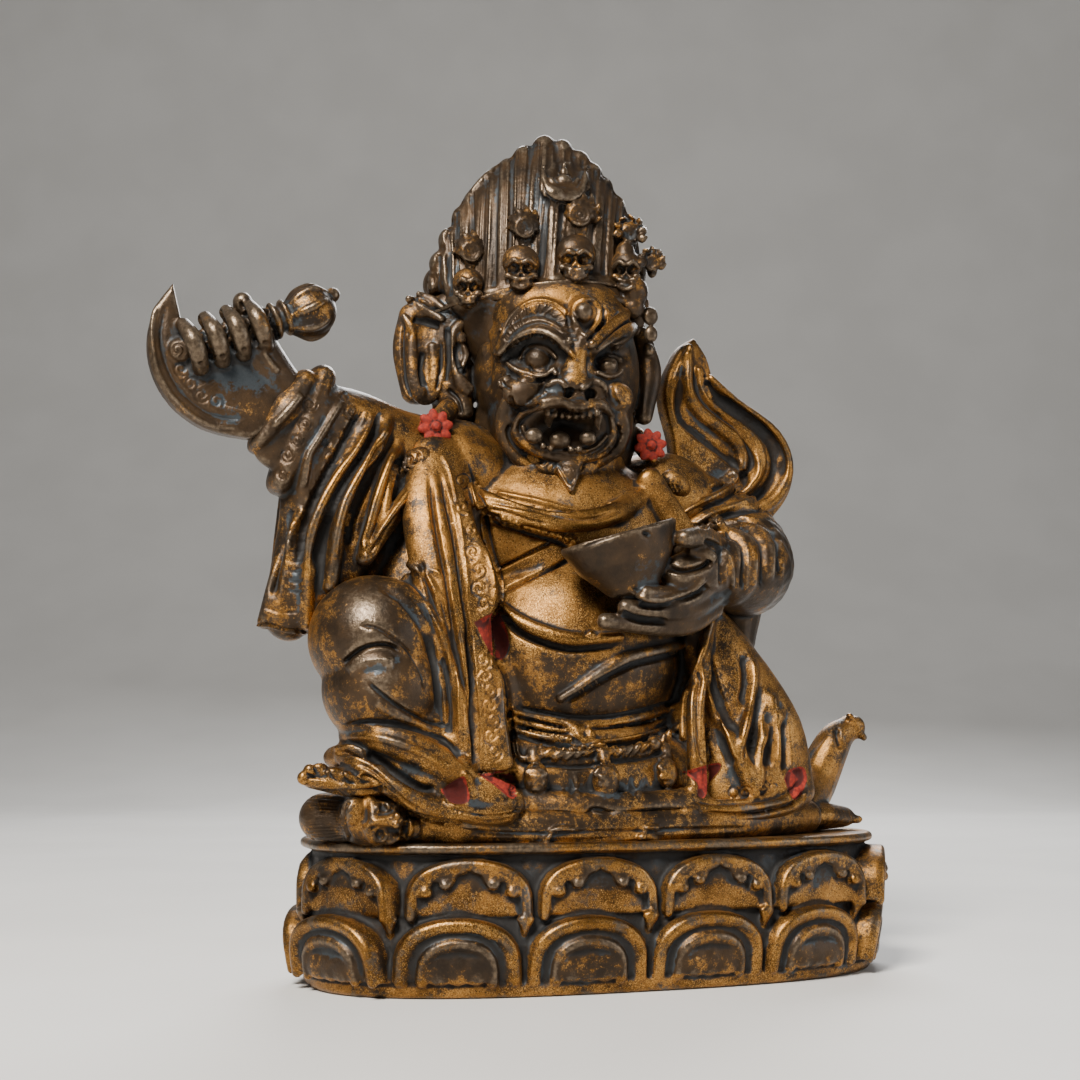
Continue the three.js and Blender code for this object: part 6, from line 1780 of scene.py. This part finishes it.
# %% The ear flowers
flowers = Casting("ear_flowers")
for x, y, z in [(-22.4, -5.6, 49.2), (6.1, -5, 48.7)]:
    flowers.ball((x, y + 1.2, z), (1.9, 1.0, 1.9))
    for k in range(8):
        a = k * math.tau / 8 + 0.2
        flowers.ball((x + 1.35 * math.cos(a), y + 0.5, z + 1.35 * math.sin(a)), (0.95, 0.42, 0.62),
                     (0, -math.degrees(a), 0))
    flowers.ball((x, y + 0.1, z), (0.6, 0.5, 0.6))
flowers.limb([(-22.4, -3.6, 49.2), (-20, -2, 52)], 1.4, 1.4)
flowers.limb([(6.1, -3, 48.7), (5.4, -1, 50.4)], 1.4, 1.4)
flowers.ball((-24.8, -6, 44.6), (2.2, 1.6, 1.7), (0, -35, 0))
flowers.ball((9.1, -5.4, 43.8), (2.2, 1.6, 1.5), (0, 35, 0))
flowers.skin(0.12, 1)
flowers.notes["gilt"][:] = 0.5
flowers.notes["red"][(flowers.points[:, 2] > 46.8) & (flowers.points[:, 1] < -4.3)] = 1
flowers.carve([(404, 466), (406, 456), (412, 457), (411, 463), (417, 463), (419, 453)], 0.24, -0.35, 0)
flowers.carve([(403, 460), (408, 450), (418, 452), (421, 460), (414, 469), (405, 468)], 0.2, -0.2, 0)
for k in range(3):
    flowers.carve([(668 + 4 * k, 484), (670 + 4 * k, 492)], 0.2, -0.2, 0.2)
flowers.struck()
flowers.cast(18_000, GILT_BRONZE)

# %% [markdown]
# ## The studio
# A pale floor, a soft key light from the upper left, a weak fill and a light from behind, and
# the camera at the viewing place.

# %% Stage
LIGHTS = [
    ("key", (-0.24, -0.27, 0.36), (0, 0, 0.06), 6.0, 0.14, (1.0, 0.95, 0.88)),
    ("fill", (0.42, -0.30, 0.12), (0, 0, 0.05), 1.0, 0.3, (0.93, 0.96, 1.0)),
    ("back", (0.20, 0.40, 0.36), (0, 0, 0.06), 3.0, 0.3, (1, 1, 1)),
]
SKY, SKY_STRENGTH = (0.80, 0.82, 0.85, 1), 0.22
FLOOR, PALE_FLOOR = (0.60, 0.59, 0.57, 1), (0.64, 0.63, 0.61, 1)


def area_light(name, place, aim, power, size, colour):
    """A square soft light that looks at a point."""
    data = bpy.data.lights.new(name, "AREA")
    data.energy, data.size, data.color = power, size, colour
    lamp = bpy.data.objects.new(name, data)
    lamp.location = place
    lamp.rotation_euler = (Vector(aim) - Vector(place)).to_track_quat("-Z", "Y").to_euler()
    bpy.context.scene.collection.objects.link(lamp)


def stage():
    """A pale sheet that lies flat under the figure and rises softly far behind it."""
    sheet = bmesh.new()
    bmesh.ops.create_grid(sheet, x_segments=1, y_segments=64, size=1)
    RUN, BEND, FLAT, IN_FRONT, HALF_WIDTH = 2.4, 0.5, 0.45, 0.9, 1.6
    for v in sheet.verts:
        reach = (v.co.y + 1) * RUN / 2 - IN_FRONT
        turn = min(max((reach - FLAT) / BEND, 0), math.pi / 2)
        rise = max(reach - FLAT - BEND * math.pi / 2, 0)
        forward = min(reach, FLAT) + BEND * math.sin(turn)
        v.co = (v.co.x * HALF_WIDTH, forward, BEND * (1 - math.cos(turn)) + rise)
    bmesh.ops.rotate(sheet, verts=sheet.verts, cent=(0, 0, 0), matrix=Matrix.Rotation(TURN, 3, "Z"))
    floor_mesh = bpy.data.meshes.new("floor")
    sheet.to_mesh(floor_mesh)
    floor_mesh.shade_smooth()
    floor = bpy.data.objects.new("floor", floor_mesh)
    bpy.context.scene.collection.objects.link(floor)
    floor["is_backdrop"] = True
    pale = Finish("pale_floor")
    tone = pale.blend(pale.noise(60, 2.0).kept(0.3, 0.7), FLOOR, PALE_FLOOR)
    shader = pale.add("ShaderNodeBsdfPrincipled", {}, {"Base Color": tone, "Roughness": 0.7})
    pale.add("ShaderNodeOutputMaterial", {}, {"Surface": shader})
    floor_mesh.materials.append(pale.material)


def lighting():
    """A dim sky and the three soft lights."""
    world = bpy.data.worlds.new("studio")
    world.use_nodes = True
    sky = world.node_tree.nodes["Background"]
    sky.inputs[0].default_value = SKY
    sky.inputs[1].default_value = SKY_STRENGTH
    bpy.context.scene.world = world
    for light in LIGHTS:
        area_light(*light)


def camera():
    """The camera at the viewing place."""
    SENSOR = 36
    data = bpy.data.cameras.new("camera")
    data.sensor_width = SENSOR
    data.lens = FOCAL / GRID * SENSOR
    data.clip_start, data.clip_end = 0.01, 10
    eye_piece = bpy.data.objects.new("camera", data)
    eye_piece.location = Vector(eye + SEAT * plumb) * MM
    eye_piece.rotation_euler = (math.pi / 2 + RISE, 0, TURN)
    bpy.context.scene.collection.objects.link(eye_piece)
    bpy.context.scene.camera = eye_piece


stage()
lighting()
camera()

# %% [markdown]
# Last, the bounds of what is rendered, the floor left out, are measured.

# %% Size
low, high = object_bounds()
